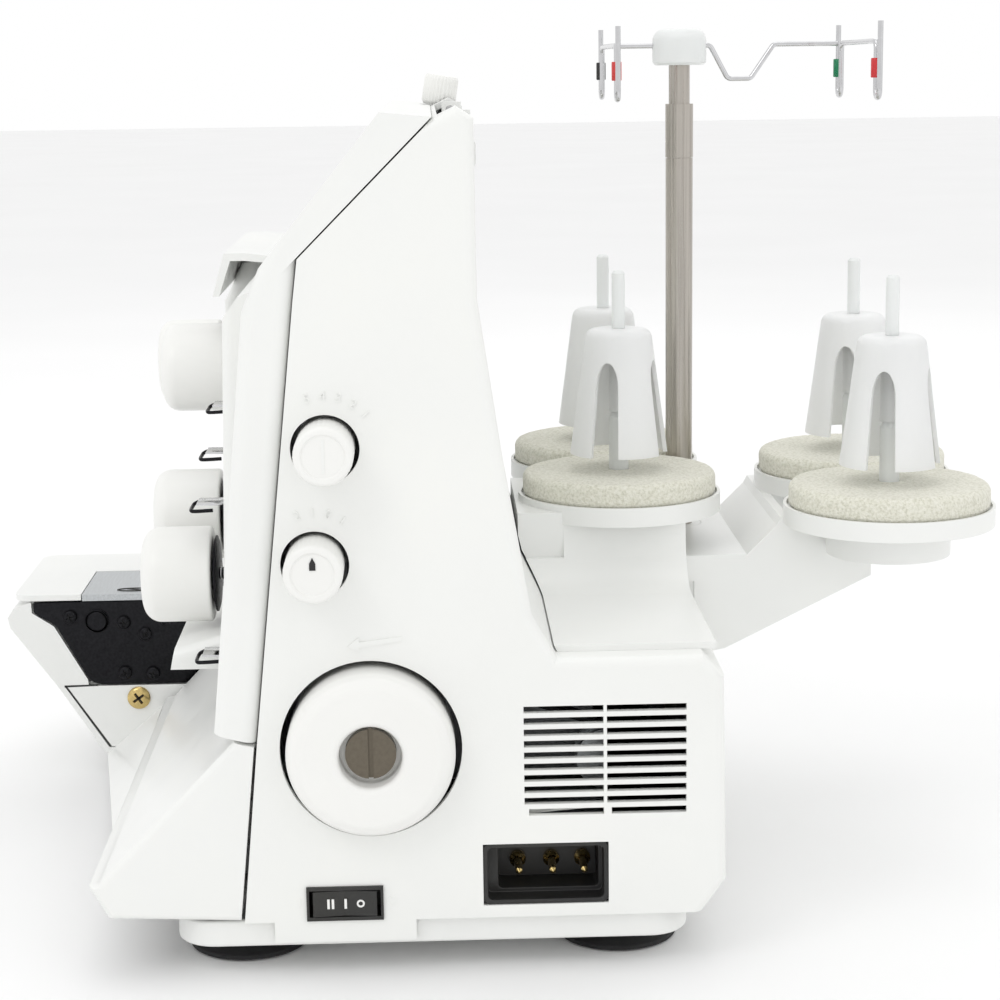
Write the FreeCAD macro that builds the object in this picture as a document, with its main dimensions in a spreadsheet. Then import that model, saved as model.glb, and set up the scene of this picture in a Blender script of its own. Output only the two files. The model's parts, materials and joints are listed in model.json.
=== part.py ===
import FreeCAD, Part
import math
import os
import re
import Sketcher

# Serger (overlock) machine, millimetres.
# +X is the handwheel side, -Y is the front where the operator sits, +Z is up.
# The origin is on the table, under the middle of the machine's bounding box.

V = FreeCAD.Vector

DIMENSIONS = {
    # overall reach
    "body_right": 150.0, "body_left": -165.0, "wall_thick": 2.5, "seam_gap": 0.4,
    # base tray and feet
    "tray_left": -152.0, "tray_right": 147.0, "tray_front": -102.0, "tray_rear": 74.0,
    "tray_low": 10.4, "tray_high": 20.0, "tray_corner": 14.0,
    "toe_back_y": -132.0, "toe_front_y": -157.6, "toe_low": 8.6, "toe_high": 30.0,
    "foot_x": 113.8, "foot_front": -79.3, "foot_rear": 51.3, "foot_radius": 21.0,
    # tower and rear housing outline, (y, z) pairs going round the side view
    "seam_low_y": -77.8, "seam_mid_y": -71.6, "seam_mid_z": 82.4,
    "seam_high_y": -55.0, "seam_high_z": 231.0, "seam_bend_y": -53.3, "seam_bend_z": 244.0,
    "slope_top_y": -8.9, "slope_top_z": 288.0, "crown_y": -1.5, "crown_z": 291.5,
    "back_top_y": 4.0, "back_top_z": 288.0, "back_high_z": 230.0, "back_mid_y": 11.7,
    "back_mid_z": 179.0, "back_low_y": 20.8, "back_low_z": 125.5, "back_foot_y": 29.0,
    "house_top": 110.0, "house_rear": 85.0, "house_foot_z": 31.0, "house_corner": 7.0,
    "cover_joint_x": 60.0, "column_left": -25.0, "arm_under": 150.0,
    # front face of the tower
    "face_low_y": -86.0, "face_low_z": 83.0, "face_high_y": -72.0, "face_high_z": 235.0,
    "brow_y": -26.0, "brow_z": 290.0,
    # raised panel that carries the tension dials
    "panel_left": -150.0, "panel_right": 66.0, "head_right": -78.0, "head_y": -98.0,
    "panel_high_y": -86.0, "panel_high_z": 216.0, "panel_mid_y": -89.5, "panel_mid_z": 99.0,
    "panel_low_y": -108.0, "panel_low_z": 94.0, "panel_top": 222.0,
    # vents in the rear housing
    "vent_low": 57.0, "vent_pitch": 3.98, "vent_high": 2.3, "vent_count": 10,
    "vent_one": 17.5, "vent_two": 45.4, "vent_long": 26.8,
    # bed and cloth plate on the left
    "bed_top": 78.0, "bed_rear": 73.0, "plate_top": 81.0, "plate_rear": -70.0,
    "nose_y": -197.7, "nose_z": 71.0, "nose_top_y": -188.0, "nose_low_y": -177.7,
    "nose_low_z": 40.0, "chin_y": -157.7, "chin_z": 9.0, "bed_right": -82.5,
    "cloth_pivot_x": -160.8, "cloth_pivot_y": -74.2, "cloth_pin": 2.2, "cloth_gap": 0.3,
    "needle_plate_left": -128.0, "needle_plate_front": -165.0,
    # lower front (looper) cover
    "apron_top_y": -79.5, "apron_top_z": 82.0, "apron_lip_y": -126.1, "apron_lip_z": 35.3,
    "apron_front_y": -129.9, "apron_front_z": 34.3, "apron_toe_y": -123.5, "apron_toe_z": 22.5,
    "apron_left": -80.0, "apron_hinge_y": -92.0, "apron_hinge_z": 24.0, "apron_slide": 8.0,
    # handwheel, drive and motor
    "wheel_y": -33.6, "wheel_z": 80.5, "wheel_radius": 28.2, "wheel_hole": 30.5,
    "wheel_face": 161.0, "wheel_back": 137.0, "wheel_hub": 10.5, "shaft_radius": 5.0,
    "run_fit": 0.05, "shaft_left": -19.0, "belt_x": 110.0, "belt_wide": 10.0,
    "pulley_radius": 24.0, "motor_pulley_radius": 9.0, "belt_thick": 2.0,
    "motor_y": 48.0, "motor_z": 66.0, "motor_radius": 25.0, "motor_left": 20.0,
    "plate_left_x": -20.0, "plate_right_x": 92.0, "plate_thick": 5.0,
    "chassis_low": 12.9, "chassis_high": 17.4,
    # side knobs
    "knob_radius": 9.8, "knob_hole": 11.35, "knob_face": 165.0, "knob_back": 132.0,
    "length_y": -46.1, "length_z": 182.3, "diff_y": -50.5, "diff_z": 143.8,
    # switch and inlet
    "switch_y": -43.7, "switch_z": 26.5, "switch_long": 26.0, "switch_high": 12.0,
    "inlet_front": 3.2, "inlet_rear": 45.8, "inlet_low": 24.3, "inlet_high": 46.0,
    "inlet_deep": 20.0, "pin_z": 33.9, "pin_long": 9.4,
    # needle and presser
    "needle_x": -108.0, "needle_y": -84.0, "presser_y": -72.0, "bar_radius": 3.2,
    "needle_rest": 92.0,
    # top knob
    "press_knob_x": -108.0, "press_knob_y": -5.6, "press_knob_z": 289.0,
    "press_knob_lean": 9.0, "press_knob_radius": 7.3, "press_knob_long": 12.0,
    # tension dials
    "dial_radius": 18.0, "dial_long": 26.2, "dial_rear_y": -94.8, "dial_one_rear_y": -101.0,
    # spool stand
    "front_pin_y": 60.9, "rear_pin_y": 158.6, "lip_radius": 39.1, "tray_inner": 37.9,
    "spool_low": 135.0, "spool_floor": 140.6, "spool_lip": 142.2,
    "foam_radius": 37.4, "foam_thick": 10.0, "pin_low_radius": 3.75, "pin_high_radius": 2.5,
    "pin_step_z": 171.0, "pin_top_z": 227.0, "cone_low": 157.0, "cone_high": 205.0,
    "cone_foot_radius": 19.0, "cone_head_radius": 12.75, "cone_wall": 1.6,
    "block_front": 20.3, "block_rear": 83.3, "block_left": -24.5, "block_right": 50.0,
    "block_skirt": 140.0, "skirt_thick": 2.2, "skirt_round": 20.0, "arm_half": 45.0,
    "arm_thick": 3.0,
    # telescopic thread pole
    "pole_x": -18.5, "pole_y": 88.4, "pole_low": 110.4, "pole_low_top": 267.6,
    "pole_mid_top": 288.6,
    "pole_high_top": 303.5, "pole_low_radius": 5.35, "pole_mid_radius": 4.75,
    "pole_high_radius": 4.1, "pole_travel": 150.0, "hub_radius": 10.5, "hub_top": 317.4,
    "wire_radius": 1.0, "wire_z": 311.0,
}

doc = FreeCAD.newDocument("Serger")
sizes = doc.addObject("Spreadsheet::Sheet", "Sizes")
for row, (alias, amount) in enumerate(DIMENSIONS.items(), start=1):
    sizes.set("A%d" % row, alias)
    sizes.set("B%d" % row, str(amount))
    sizes.setAlias("B%d" % row, alias)
doc.recompute()

sub_parts = []


# ---------------------------------------------------------------- small helpers
def number(expression):
    """The value of an expression written with the sheet's aliases."""
    return float(sizes.evalExpression(str(expression)))


def bind(thing, target, expression):
    """Ties a property to the sheet."""
    text = re.sub(r"\b([a-z]+_[a-z_]+)\b", r"Sizes.\1", str(expression))
    thing.setExpression(target, text)


def place(thing, x=0, y=0, z=0):
    for axis, expression in (("x", x), ("y", y), ("z", z)):
        bind(thing, "Placement.Base." + axis, expression)
    return thing


def keep(thing, label):
    """Marks an object as a finished sub-part; its label names its file."""
    thing.Label = label
    sub_parts.append(thing)
    return thing


def box(name, x, y, z):
    """A box from pairs of expressions (low, high) along each axis."""
    block = doc.addObject("Part::Box", name)
    for prop, (low, high) in (("Length", x), ("Width", y), ("Height", z)):
        bind(block, prop, "(%s) - (%s)" % (high, low))
    return place(block, x[0], y[0], z[0])


TURNS = {
    "X": FreeCAD.Rotation(V(0, 1, 0), 90),
    "Y": FreeCAD.Rotation(V(1, 0, 0), -90),
    "Z": FreeCAD.Rotation(),
}


def rod(name, axis, radius, start, end, x=0, y=0, z=0):
    """A cylinder along an axis, from start to end on it."""
    bar = doc.addObject("Part::Cylinder", name)
    bar.Placement = FreeCAD.Placement(V(), TURNS[axis])
    bind(bar, "Radius", radius)
    bind(bar, "Height", "(%s) - (%s)" % (end, start))
    spot = {"X": x, "Y": y, "Z": z}
    spot[axis] = start
    return place(bar, spot["X"], spot["Y"], spot["Z"])


def outline_sketch(body, name, role, points, start=0):
    """A closed sketch through (u, v) expression pairs, every point dimensioned from the origin."""
    sketch = body.newObject("Sketcher::SketchObject", name)
    plane = [part for part in body.Origin.OriginFeatures if part.Role == role][0]
    sketch.AttachmentSupport = [(plane, "")]
    sketch.MapMode = "FlatFace"
    corners = [V(number(u), number(v), 0) for u, v in points]
    count = len(corners)
    for index in range(count):
        sketch.addGeometry(Part.LineSegment(corners[index], corners[(index + 1) % count]), False)
    for index in range(count):
        sketch.addConstraint(Sketcher.Constraint("Coincident", index, 2, (index + 1) % count, 1))
    for index, (u, v) in enumerate(points):
        for kind, expression, amount in (("DistanceX", u, corners[index].x),
                                         ("DistanceY", v, corners[index].y)):
            slot = sketch.addConstraint(Sketcher.Constraint(kind, -1, 1, index, 1, amount))
            bind(sketch, "Constraints[%d]" % slot, expression)
    bind(sketch, "AttachmentOffset.Base.z", start)
    return sketch


def prism(name, role, points, start, end):
    """A body padded from an outline; role is the plane that the outline lies on."""
    body = doc.addObject("PartDesign::Body", name)
    sketch = outline_sketch(body, name + "_outline", role, points, start)
    pad = body.newObject("PartDesign::Pad", name + "_pad")
    pad.Profile = sketch
    bind(pad, "Length", "(%s) - (%s)" % (end, start))
    return body


def turned(name, axis, points, x=0, y=0, z=0):
    """A body turned about an axis, from (along, radius) expression pairs."""
    body = doc.addObject("PartDesign::Body", name)
    role = "XZ_Plane" if axis == "Z" else "XY_Plane"
    if axis != "X":
        points = [(radius, along) for along, radius in points]
    sketch = outline_sketch(body, name + "_outline", role, points)
    spin = body.newObject("PartDesign::Revolution", name + "_turn")
    spin.Profile = sketch
    spin.ReferenceAxis = (sketch, ["H_Axis" if axis == "X" else "V_Axis"])
    spin.Angle = 360
    return place(body, x, y, z)


def cut(name, base, *tools):
    result = base
    for index, tool in enumerate(tools):
        step = doc.addObject("Part::Cut", name if index == 0 else "%s_%d" % (name, index + 1))
        step.Base = result
        step.Tool = tool
        result = step
    return result


def fuse(name, *pieces):
    joined = doc.addObject("Part::MultiFuse", name)
    joined.Shapes = list(pieces)
    joined.Refine = True
    return joined


def group(name, *pieces):
    """Identical separate solids that share one node."""
    together = doc.addObject("Part::Compound", name)
    together.Links = list(pieces)
    return together


def rounded(name, base, radius, choose):
    """Rounds the edges that choose() picks, by their middle point and direction."""
    doc.recompute()
    reach = number(radius)
    picked = []
    for index, edge in enumerate(base.Shape.Edges, start=1):
        middle = edge.valueAt((edge.FirstParameter + edge.LastParameter) / 2)
        run = edge.Vertexes[-1].Point - edge.Vertexes[0].Point
        along = "O"
        if isinstance(edge.Curve, Part.Line) and run.Length > 0:
            share = [abs(run.x), abs(run.y), abs(run.z)]
            along = "XYZ"[share.index(max(share))] if max(share) / run.Length > 0.999 else "S"
        if choose(middle, along, edge):
            picked.append((index, reach, reach))
    smooth = doc.addObject("Part::Fillet", name)
    smooth.Base = base
    smooth.Edges = picked
    return smooth


def hollow(name, role, points, start, end, inner_start, inner_end, wall="wall_thick"):
    """A shell: an outline's prism less the same outline moved inwards by the wall."""
    outer = prism(name + "_outer", role, points, start, end)
    doc.recompute()
    sketch = [item for item in outer.Group if item.TypeId == "Sketcher::SketchObject"][0]
    inset = doc.addObject("Part::Offset2D", name + "_inset")
    inset.Source = sketch
    inset.Join = "Intersection"
    bind(inset, "Value", "-(%s)" % wall)
    core = doc.addObject("Part::Extrusion", name + "_core")
    core.Base = inset
    core.DirMode = "Custom"
    core.Dir = {"YZ_Plane": V(1, 0, 0), "XZ_Plane": V(0, -1, 0), "XY_Plane": V(0, 0, 1)}[role]
    core.Solid = True
    bind(core, "LengthFwd", "(%s) - (%s)" % (inner_end, start))
    bind(core, "LengthRev", "(%s) - (%s)" % (start, inner_start))
    return outer, core


# ---------------------------------------------------------------- base and chassis
LUG_SPOTS = [-66, 4, 112]
BRACKET_SPOTS = [-46, 84]


def make_base():
    outer = rounded("tray_outer_round", box("tray_outer", ("tray_left", "tray_right"),
                    ("tray_front", "tray_rear"), ("tray_low", "tray_high")), "tray_corner",
                    lambda middle, along, edge: along == "Z")
    inner = rounded("tray_inner_round", box("tray_core",
                    ("tray_left + wall_thick", "tray_right - wall_thick"),
                    ("tray_front + wall_thick", "tray_rear - wall_thick"),
                    ("chassis_low", "tray_high + 1")), "tray_corner - wall_thick",
                    lambda middle, along, edge: along == "Z")
    notches = [box("tray_notch_%d" % index, (spot - 1.5, "%s + 9.5 + apron_slide" % spot),
                   ("tray_front - 1", "tray_front + 7"), ("tray_low - 1", "tray_high + 1"))
               for index, spot in enumerate(LUG_SPOTS)]
    keep(cut("base_tray_cut", outer, inner, *notches), "base_tray")
    feet = []
    for side in (-1, 1):
        for row, row_y in enumerate(("foot_front", "foot_rear")):
            feet.append(turned("foot_%d_%d" % (side + 1, row), "Z",
                               [(0, 0), (0, "foot_radius"), (2, "foot_radius"),
                                (5, "foot_radius - 6"), ("tray_low", "foot_radius - 9"),
                                ("tray_low", 0)],
                               x="%d * foot_x" % side, y=row_y))
    keep(group("feet_group", *feet), "suction_feet")



def toe_wedge():
    """The front edge of the base, flaring out towards the left to meet the looper housing."""
    far = [("toe_back_y", "toe_high"), ("toe_front_y", "toe_low"), ("toe_back_y", "toe_low")]
    near = [("toe_back_y", "toe_high - 3"), ("toe_back_y - 1.2", "toe_high - 6"),
            ("toe_back_y", "toe_high - 9")]
    body = doc.addObject("PartDesign::Body", "toe")
    first = outline_sketch(body, "toe_far", "YZ_Plane", far, "bed_right - 3")
    last = outline_sketch(body, "toe_near", "YZ_Plane", near, 70)
    loft = body.newObject("PartDesign::AdditiveLoft", "toe_loft")
    loft.Profile = first
    loft.Sections = [last]
    loft.Ruled = True
    return body


def make_chassis():
    """The cast frame: a floor slab, two bearing plates, the arm and the small brackets."""
    pieces = [box("chassis_slab", ("tray_left + 12", "tray_right - 7"),
                  ("tray_front + 22", "tray_rear - 8"), ("chassis_low", "chassis_high"))]
    for side, spot in (("left", "plate_left_x"), ("right", "plate_right_x")):
        pieces.append(prism("frame_%s" % side, "YZ_Plane",
                            [(-64, "chassis_low + 1"), (64, "chassis_low + 1"), (64, 98), (8, 98),
                             (-2, 150), (-6, 262), (-20, 262), (-46, 238), (-50, 150),
                             (-62, 60)],
                            spot, "%s + plate_thick" % spot))
    pieces.append(box("looper_plate_inside", (-78, -74), (-64, 54), ("chassis_low + 1", 72)))
    pieces.append(box("arm_beam", ("needle_x - 12", "plate_left_x + 1"), (-46, -36), (182, 194)))
    for name, low, high in (("upper", 182, 190), ("lower", 156, 164)):
        pieces.append(box("bar_guide_" + name, ("needle_x - 12", "needle_x + 12"),
                          ("needle_y - 5.8", -36), (low, high)))
    pieces.append(box("bar_guide_back", ("needle_x - 12", "needle_x - 6"), (-46, -36),
                      (156, 190)))
    pieces.append(box("lifter_lug", ("needle_x + 18", "needle_x + 24"), (-46, -18), (166, 194)))
    pieces.append(box("knob_nut_block", ("press_knob_x - 8", "plate_left_x + 1"), (-18, -5.5),
                      (254, 262)))
    pieces.append(box("knob_rail", ("knob_back + 1", "knob_back + 5"), (-53.5, -40.5),
                      ("diff_z - 20", "length_z + 6")))
    pieces.append(box("knob_rail_tie", ("plate_right_x + plate_thick - 1", "knob_back + 2"),
                      (-52, -46), ("diff_z - 20", "diff_z - 14")))
    for knob in ("length", "diff"):
        pieces.append(rod(knob + "_bush", "X", 5.5, "knob_back + 1", "body_right - 7",
                          y=knob + "_y", z=knob + "_z"))
    for index, spot in enumerate(BRACKET_SPOTS):
        pieces.append(box("rod_holder_%d" % index, (spot, spot + 8),
                          ("apron_hinge_y - 3.4", "tray_front + 23.6"),
                          ("apron_hinge_z - 3.4", "apron_hinge_z + 3.4")))
        pieces.append(box("rod_holder_foot_%d" % index, (spot, spot + 8),
                          ("tray_front + 18", "tray_front + 23.6"),
                          ("chassis_high - 1", "apron_hinge_z")))
    bores = [rod("shaft_bore", "X", "shaft_radius + 4", "plate_left_x - 1",
                 "plate_right_x + plate_thick + 1", y="wheel_y", z="wheel_z"),
             rod("rod_bore", "X", "2 + run_fit", -75, 135, y="apron_hinge_y",
                 z="apron_hinge_z"),
             rod("motor_shaft_bore", "X", 4, "plate_right_x - 1",
                 "plate_right_x + plate_thick + 1", y="motor_y", z="motor_z"),
             rod("lifter_lug_bore", "X", 2.5, "needle_x + 10", "needle_x + 40", y=-24, z=172)]
    for knob in ("length", "diff"):
        bores.append(rod(knob + "_bush_bore", "X", "3 + run_fit", "knob_back",
                         "body_right - 6", y=knob + "_y", z=knob + "_z"))
    for label in ("needle_y", "presser_y"):
        bores.append(rod(label + "_bore", "Z", "bar_radius + run_fit", 150, 206,
                         x="needle_x", y=label))
    bores.append(leaning(rod("knob_nut_bore", "Z", "2.5 + run_fit", 0, 60), -40))
    keep(cut("chassis_cut", fuse("chassis_all", *pieces), group("chassis_bores", *bores)),
         "chassis_frame")

    bearings = []
    for side, spot in (("left", "plate_left_x"), ("right", "plate_right_x")):
        ring = rod("bearing_%s_ring" % side, "X", "shaft_radius + 4", "%s - 1" % spot,
                   "%s + plate_thick + 1" % spot, y="wheel_y", z="wheel_z")
        hole = rod("bearing_%s_hole" % side, "X", "shaft_radius + run_fit", "%s - 2" % spot,
                   "%s + plate_thick + 2" % spot, y="wheel_y", z="wheel_z")
        bearings.append(cut("bearing_%s" % side, ring, hole))
    pins = [rod("grip_pin_a", "X", 2, -79, -69, y=-1, z=286.5),
            rod("grip_pin_b", "X", 2, 119, 129, y=-1, z=286.5),
            rod("lifter_pin", "X", 2.5, "needle_x + 8", "needle_x + 24", y=-24, z=172)]
    pins += [rod("looper_pin_%d" % index, "X", 2.5, "needle_x - 12", "bed_right - %s" % short,
                 y=pin_y, z=pin_z)
             for index, (pin_y, pin_z, short) in enumerate(((-128, 52, 3.1), (-118, 30, 6.2),
                                                            (-150, 62, 3.1)))]
    keep(group("bearing_group", *(bearings + pins)), "bearings_and_pins")


def leaning(thing, along):
    """Stands a piece on the leaning axis of the presser pressure knob, at a height along it."""
    lean = math.radians(number("press_knob_lean"))
    thing.Placement = FreeCAD.Placement(V(), FreeCAD.Rotation(V(1, 0, 0), -math.degrees(lean)))
    return place(thing, "press_knob_x",
                 "press_knob_y + (%s) * %.6f" % (along, math.sin(lean)),
                 "press_knob_z + (%s) * %.6f" % (along, math.cos(lean)))


# ---------------------------------------------------------------- casing
SIDE_OUTLINE = [
    ("seam_low_y", "tray_high"), ("seam_mid_y", "seam_mid_z"), ("seam_high_y", "seam_high_z"),
    ("seam_bend_y", "seam_bend_z"), ("slope_top_y", "slope_top_z"), ("crown_y", "crown_z"),
    ("back_top_y", "back_top_z"), ("back_top_y + 0.3", "back_high_z"),
    ("back_mid_y", "back_mid_z"), ("back_low_y", "back_low_z"), ("back_foot_y", "house_top"),
    ("house_rear - house_corner", "house_top"), ("house_rear", "house_top - house_corner"),
    ("house_rear + 1", "house_foot_z"), ("house_rear - house_corner", "tray_high"),
]


def handle_pocket(name):
    return box(name, (-79, 129), (-7.5, 12), (267.5, 296))


def bar_window(name):
    """Room for the needle bar, the presser bar and its collar behind the raised panel."""
    return box(name, ("panel_left + 2", "needle_x + 34"), (-100, -46),
               ("arm_under - 1", "panel_top - 7"))


def floor_opening(name, start, end):
    """The open underside of a casing, over the base tray."""
    return box(name, (start, end), ("seam_low_y + 4", "house_rear - 10"),
               ("tray_high - 1", "tray_high + wall_thick + 1"))


def make_casing():
    outer, core = hollow("side_cover", "YZ_Plane", SIDE_OUTLINE, "cover_joint_x", "body_right",
                         "cover_joint_x - 1", "body_right - wall_thick")
    outer = rounded("side_cover_round", outer, "3.2",
                    lambda middle, along, edge: abs(middle.x - number("body_right")) < 0.01
                    and middle.z > number("tray_high") + 0.5 and middle.y > number("slope_top_y"))
    lip = box("switch_lip", ("body_right - 2.4", "body_right"), (-67.7, -19.7), (12.8, 24))
    slots = []
    for column in ("vent_one", "vent_two"):
        for row in range(int(number("vent_count"))):
            shift = 1.5 if row == 0 else 0
            low = "vent_low + %d * vent_pitch - vent_high / 2" % row
            slots.append(box("vent_%s_%d" % (column, row), ("body_right - 6", "body_right + 2"),
                             ("%s + %s" % (column, shift), "%s + vent_long" % column),
                             (low, low + " + vent_high")))
    holes = [rod("wheel_hole_tool", "X", "wheel_hole", "body_right - 12", "body_right + 5",
                 y="wheel_y", z="wheel_z")]
    for knob in ("length", "diff"):
        holes.append(rod(knob + "_hole_tool", "X", "knob_hole", "body_right - 12",
                         "body_right + 5", y=knob + "_y", z=knob + "_z"))
    holes.append(box("switch_hole_tool", ("body_right - 12", "body_right + 5"),
                     ("switch_y - switch_long / 2", "switch_y + switch_long / 2"),
                     ("switch_z - switch_high / 2", "switch_z + switch_high / 2")))
    holes.append(box("inlet_hole_tool", ("body_right - 12", "body_right + 5"),
                     ("inlet_front", "inlet_rear"), ("inlet_low", "inlet_high")))
    body = cut("side_cover_open", fuse("side_cover_lip", cut("side_cover_shell", outer, core), lip),
               group("side_cover_tools", *(slots + holes)), handle_pocket("side_pocket"),
               floor_opening("side_floor", "cover_joint_x - 1", "body_right - wall_thick"))
    keep(body, "right_side_cover")

    gap = "cover_joint_x - seam_gap"
    outer, core = hollow("rear_cover", "YZ_Plane", SIDE_OUTLINE, "body_left", gap,
                         "body_left + wall_thick", "cover_joint_x + 1")
    void = box("sewing_void", ("body_left - 1", "column_left"), (-120, 120), (0, "arm_under"))
    ledge = prism("rear_cover_ledge", "YZ_Plane",
                  [("seam_mid_y + 8.9", "arm_under"), ("back_mid_y + 3.4", "arm_under"),
                   ("back_mid_y + 3.4", "arm_under + wall_thick"),
                   ("seam_mid_y + 8.9", "arm_under + wall_thick")],
                  "body_left", "column_left + wall_thick")
    wall = prism("rear_cover_wall", "YZ_Plane",
                 [("seam_low_y + 1", "tray_high"), ("seam_mid_y + 1", "seam_mid_z"),
                  ("seam_mid_y + 8.9", "arm_under"), ("back_mid_y + 3.4", "arm_under"),
                  ("back_foot_y - 2", "house_top - 1"), ("house_rear - 7", "house_top - 1"),
                  ("house_rear - 1", "house_top - 7"), ("house_rear - 1", "house_foot_z"),
                  ("house_rear - 8", "tray_high")], "column_left", "column_left + wall_thick")
    knob_hole = leaning(rod("press_knob_hole", "Z", "press_knob_radius + 0.8", 0, 30), -18)
    lever_slot = box("lifter_slot", ("needle_x + 6", "needle_x + 20"), (-10, 30), (162, 202))
    arm_window = box("arm_window", ("column_left - 1", "column_left + 4"), (-48, -4), (178, 264))
    shell = fuse("rear_cover_shell", cut("rear_cover_base", outer, core, void), ledge, wall)
    keep(cut("rear_cover_open", shell, knob_hole, lever_slot, handle_pocket("rear_pocket"),
             arm_window, bar_window("rear_bar_window"),
             floor_opening("rear_floor", "column_left + wall_thick", "cover_joint_x + 1")),
         "rear_cover")

    face = [("face_low_y", "face_low_z + 3.4"), ("seam_mid_y - seam_gap", "face_low_z"),
            ("seam_high_y - seam_gap", "seam_high_z"),
            ("seam_bend_y - seam_gap", "seam_bend_z + 0.3"),
            ("slope_top_y - seam_gap", "slope_top_z + 0.4"), ("brow_y", "brow_z"),
            ("face_high_y + 6", "face_high_z + 6"), ("face_high_y", "face_high_z - 8")]
    outer, core = hollow("front_face", "YZ_Plane", face, "body_left", "body_right",
                         "body_left + wall_thick", "body_right - wall_thick")
    outer = rounded("front_face_round", outer, "4.5",
                    lambda middle, along, edge: (abs(middle.x - number("body_right")) < 0.01
                                                 or abs(middle.x - number("body_left")) < 0.01)
                    and middle.y < number("seam_high_y") - 8 and middle.z > 90
                    and middle.z < 288)
    void = box("face_void", ("body_left - 1", "column_left - seam_gap"), (-120, 120),
               (0, "arm_under"))
    floor = prism("face_floor", "YZ_Plane",
                  [("face_high_y - 7.6", "arm_under"), ("seam_mid_y + 7.1", "arm_under"),
                   ("seam_mid_y + 7.3", "arm_under + wall_thick"),
                   ("face_high_y - 7.4", "arm_under + wall_thick")],
                  "body_left", "column_left")
    cheek = prism("face_cheek", "YZ_Plane",
                  [("face_low_y + 0.5", "face_low_z + 3.4"), ("seam_mid_y - 1", "face_low_z"),
                   ("seam_mid_y + 6", "arm_under"), ("face_high_y - 7.2", "arm_under")],
                  "column_left - seam_gap", "column_left + wall_thick")
    knob_hole = leaning(rod("face_knob_hole", "Z", "press_knob_radius + 0.8", 0, 30), -18)
    shell = fuse("front_face_shell", cut("front_face_cut", outer, core, void), floor, cheek)
    keep(cut("front_face_head", shell, bar_window("face_bar_window"), knob_hole),
         "front_cover")
    make_panel()

    bed = box("bed_block", ("body_left + 3", "column_left - seam_gap"),
              ("plate_rear + seam_gap", "bed_rear"), ("tray_high", "bed_top"))
    bed = rounded("bed_round", bed, "5", lambda middle, along, edge:
                  (middle.z > number("bed_top") - 0.01 and middle.y > number("bed_rear") - 0.01)
                  or (along == "Z" and middle.y > number("bed_rear") - 0.01
                      and middle.x < 0))
    bed_room = box("bed_room", ("body_left + 3 + wall_thick", "column_left + 1"),
                   ("plate_rear - 1", "bed_rear - wall_thick"),
                   ("tray_high - 1", "bed_top - wall_thick"))
    keep(cut("bed_shell", bed, bed_room), "bed_cover")


def panel_shell(name, outline, left, right):
    """One box of the raised panel, with its near and far edges rounded."""
    outer, core = hollow(name, "YZ_Plane", outline, left, right,
                         left + " + wall_thick", right + " - wall_thick")
    outer = rounded(name + "_round", outer, 4, lambda middle, along, edge:
                    (abs(middle.x - number(right)) < 0.01 or abs(middle.x - number(left)) < 0.01)
                    and middle.y < number("panel_mid_y") + 5
                    and middle.z > number("panel_low_z") + 2)
    return cut(name + "_shell", outer, core)


def make_panel():
    """The raised front panel: a deep needle-bar head at the left, a thin dial panel beside it."""
    top = [("face_high_y - 0.4", "face_high_z - 8")]
    foot = [("panel_low_y - 1.5", "face_low_z + 3.6"), ("face_low_y - 0.1", "face_low_z + 3.6")]
    head = top + [("head_y + 8", "panel_top + 2"), ("head_y", "panel_top - 14"),
                  ("head_y", "panel_low_z")] + [("face_low_y - 0.1", "panel_low_z")]
    thin = top + [("panel_high_y + 6", "panel_top + 2"), ("panel_high_y", "panel_high_z"),
                  ("panel_mid_y", "panel_mid_z"), ("panel_low_y", "panel_low_z")] + foot
    head_part = panel_shell("panel_head", head, "panel_left", "head_right")
    thin_part = panel_shell("panel_thin", thin, "head_right - wall_thick", "panel_right")
    back = prism("panel_back", "YZ_Plane",
                 [("face_low_y + 0.2", "face_low_z + 6.2"),
                  ("face_low_y - 3.2", "face_low_z + 6.2"),
                  ("face_high_y - 3.8", "face_high_z - 12"),
                  ("face_high_y + 9", "face_high_z - 12")],
                 "panel_left + wall_thick", "panel_right - wall_thick")
    void = box("panel_void", ("panel_left - 1", "column_left - seam_gap"), (-140, -50),
               (0, "arm_under"))
    keep(cut("panel_cut", fuse("panel_all", head_part, thin_part), void, back), "dial_panel")


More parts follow.
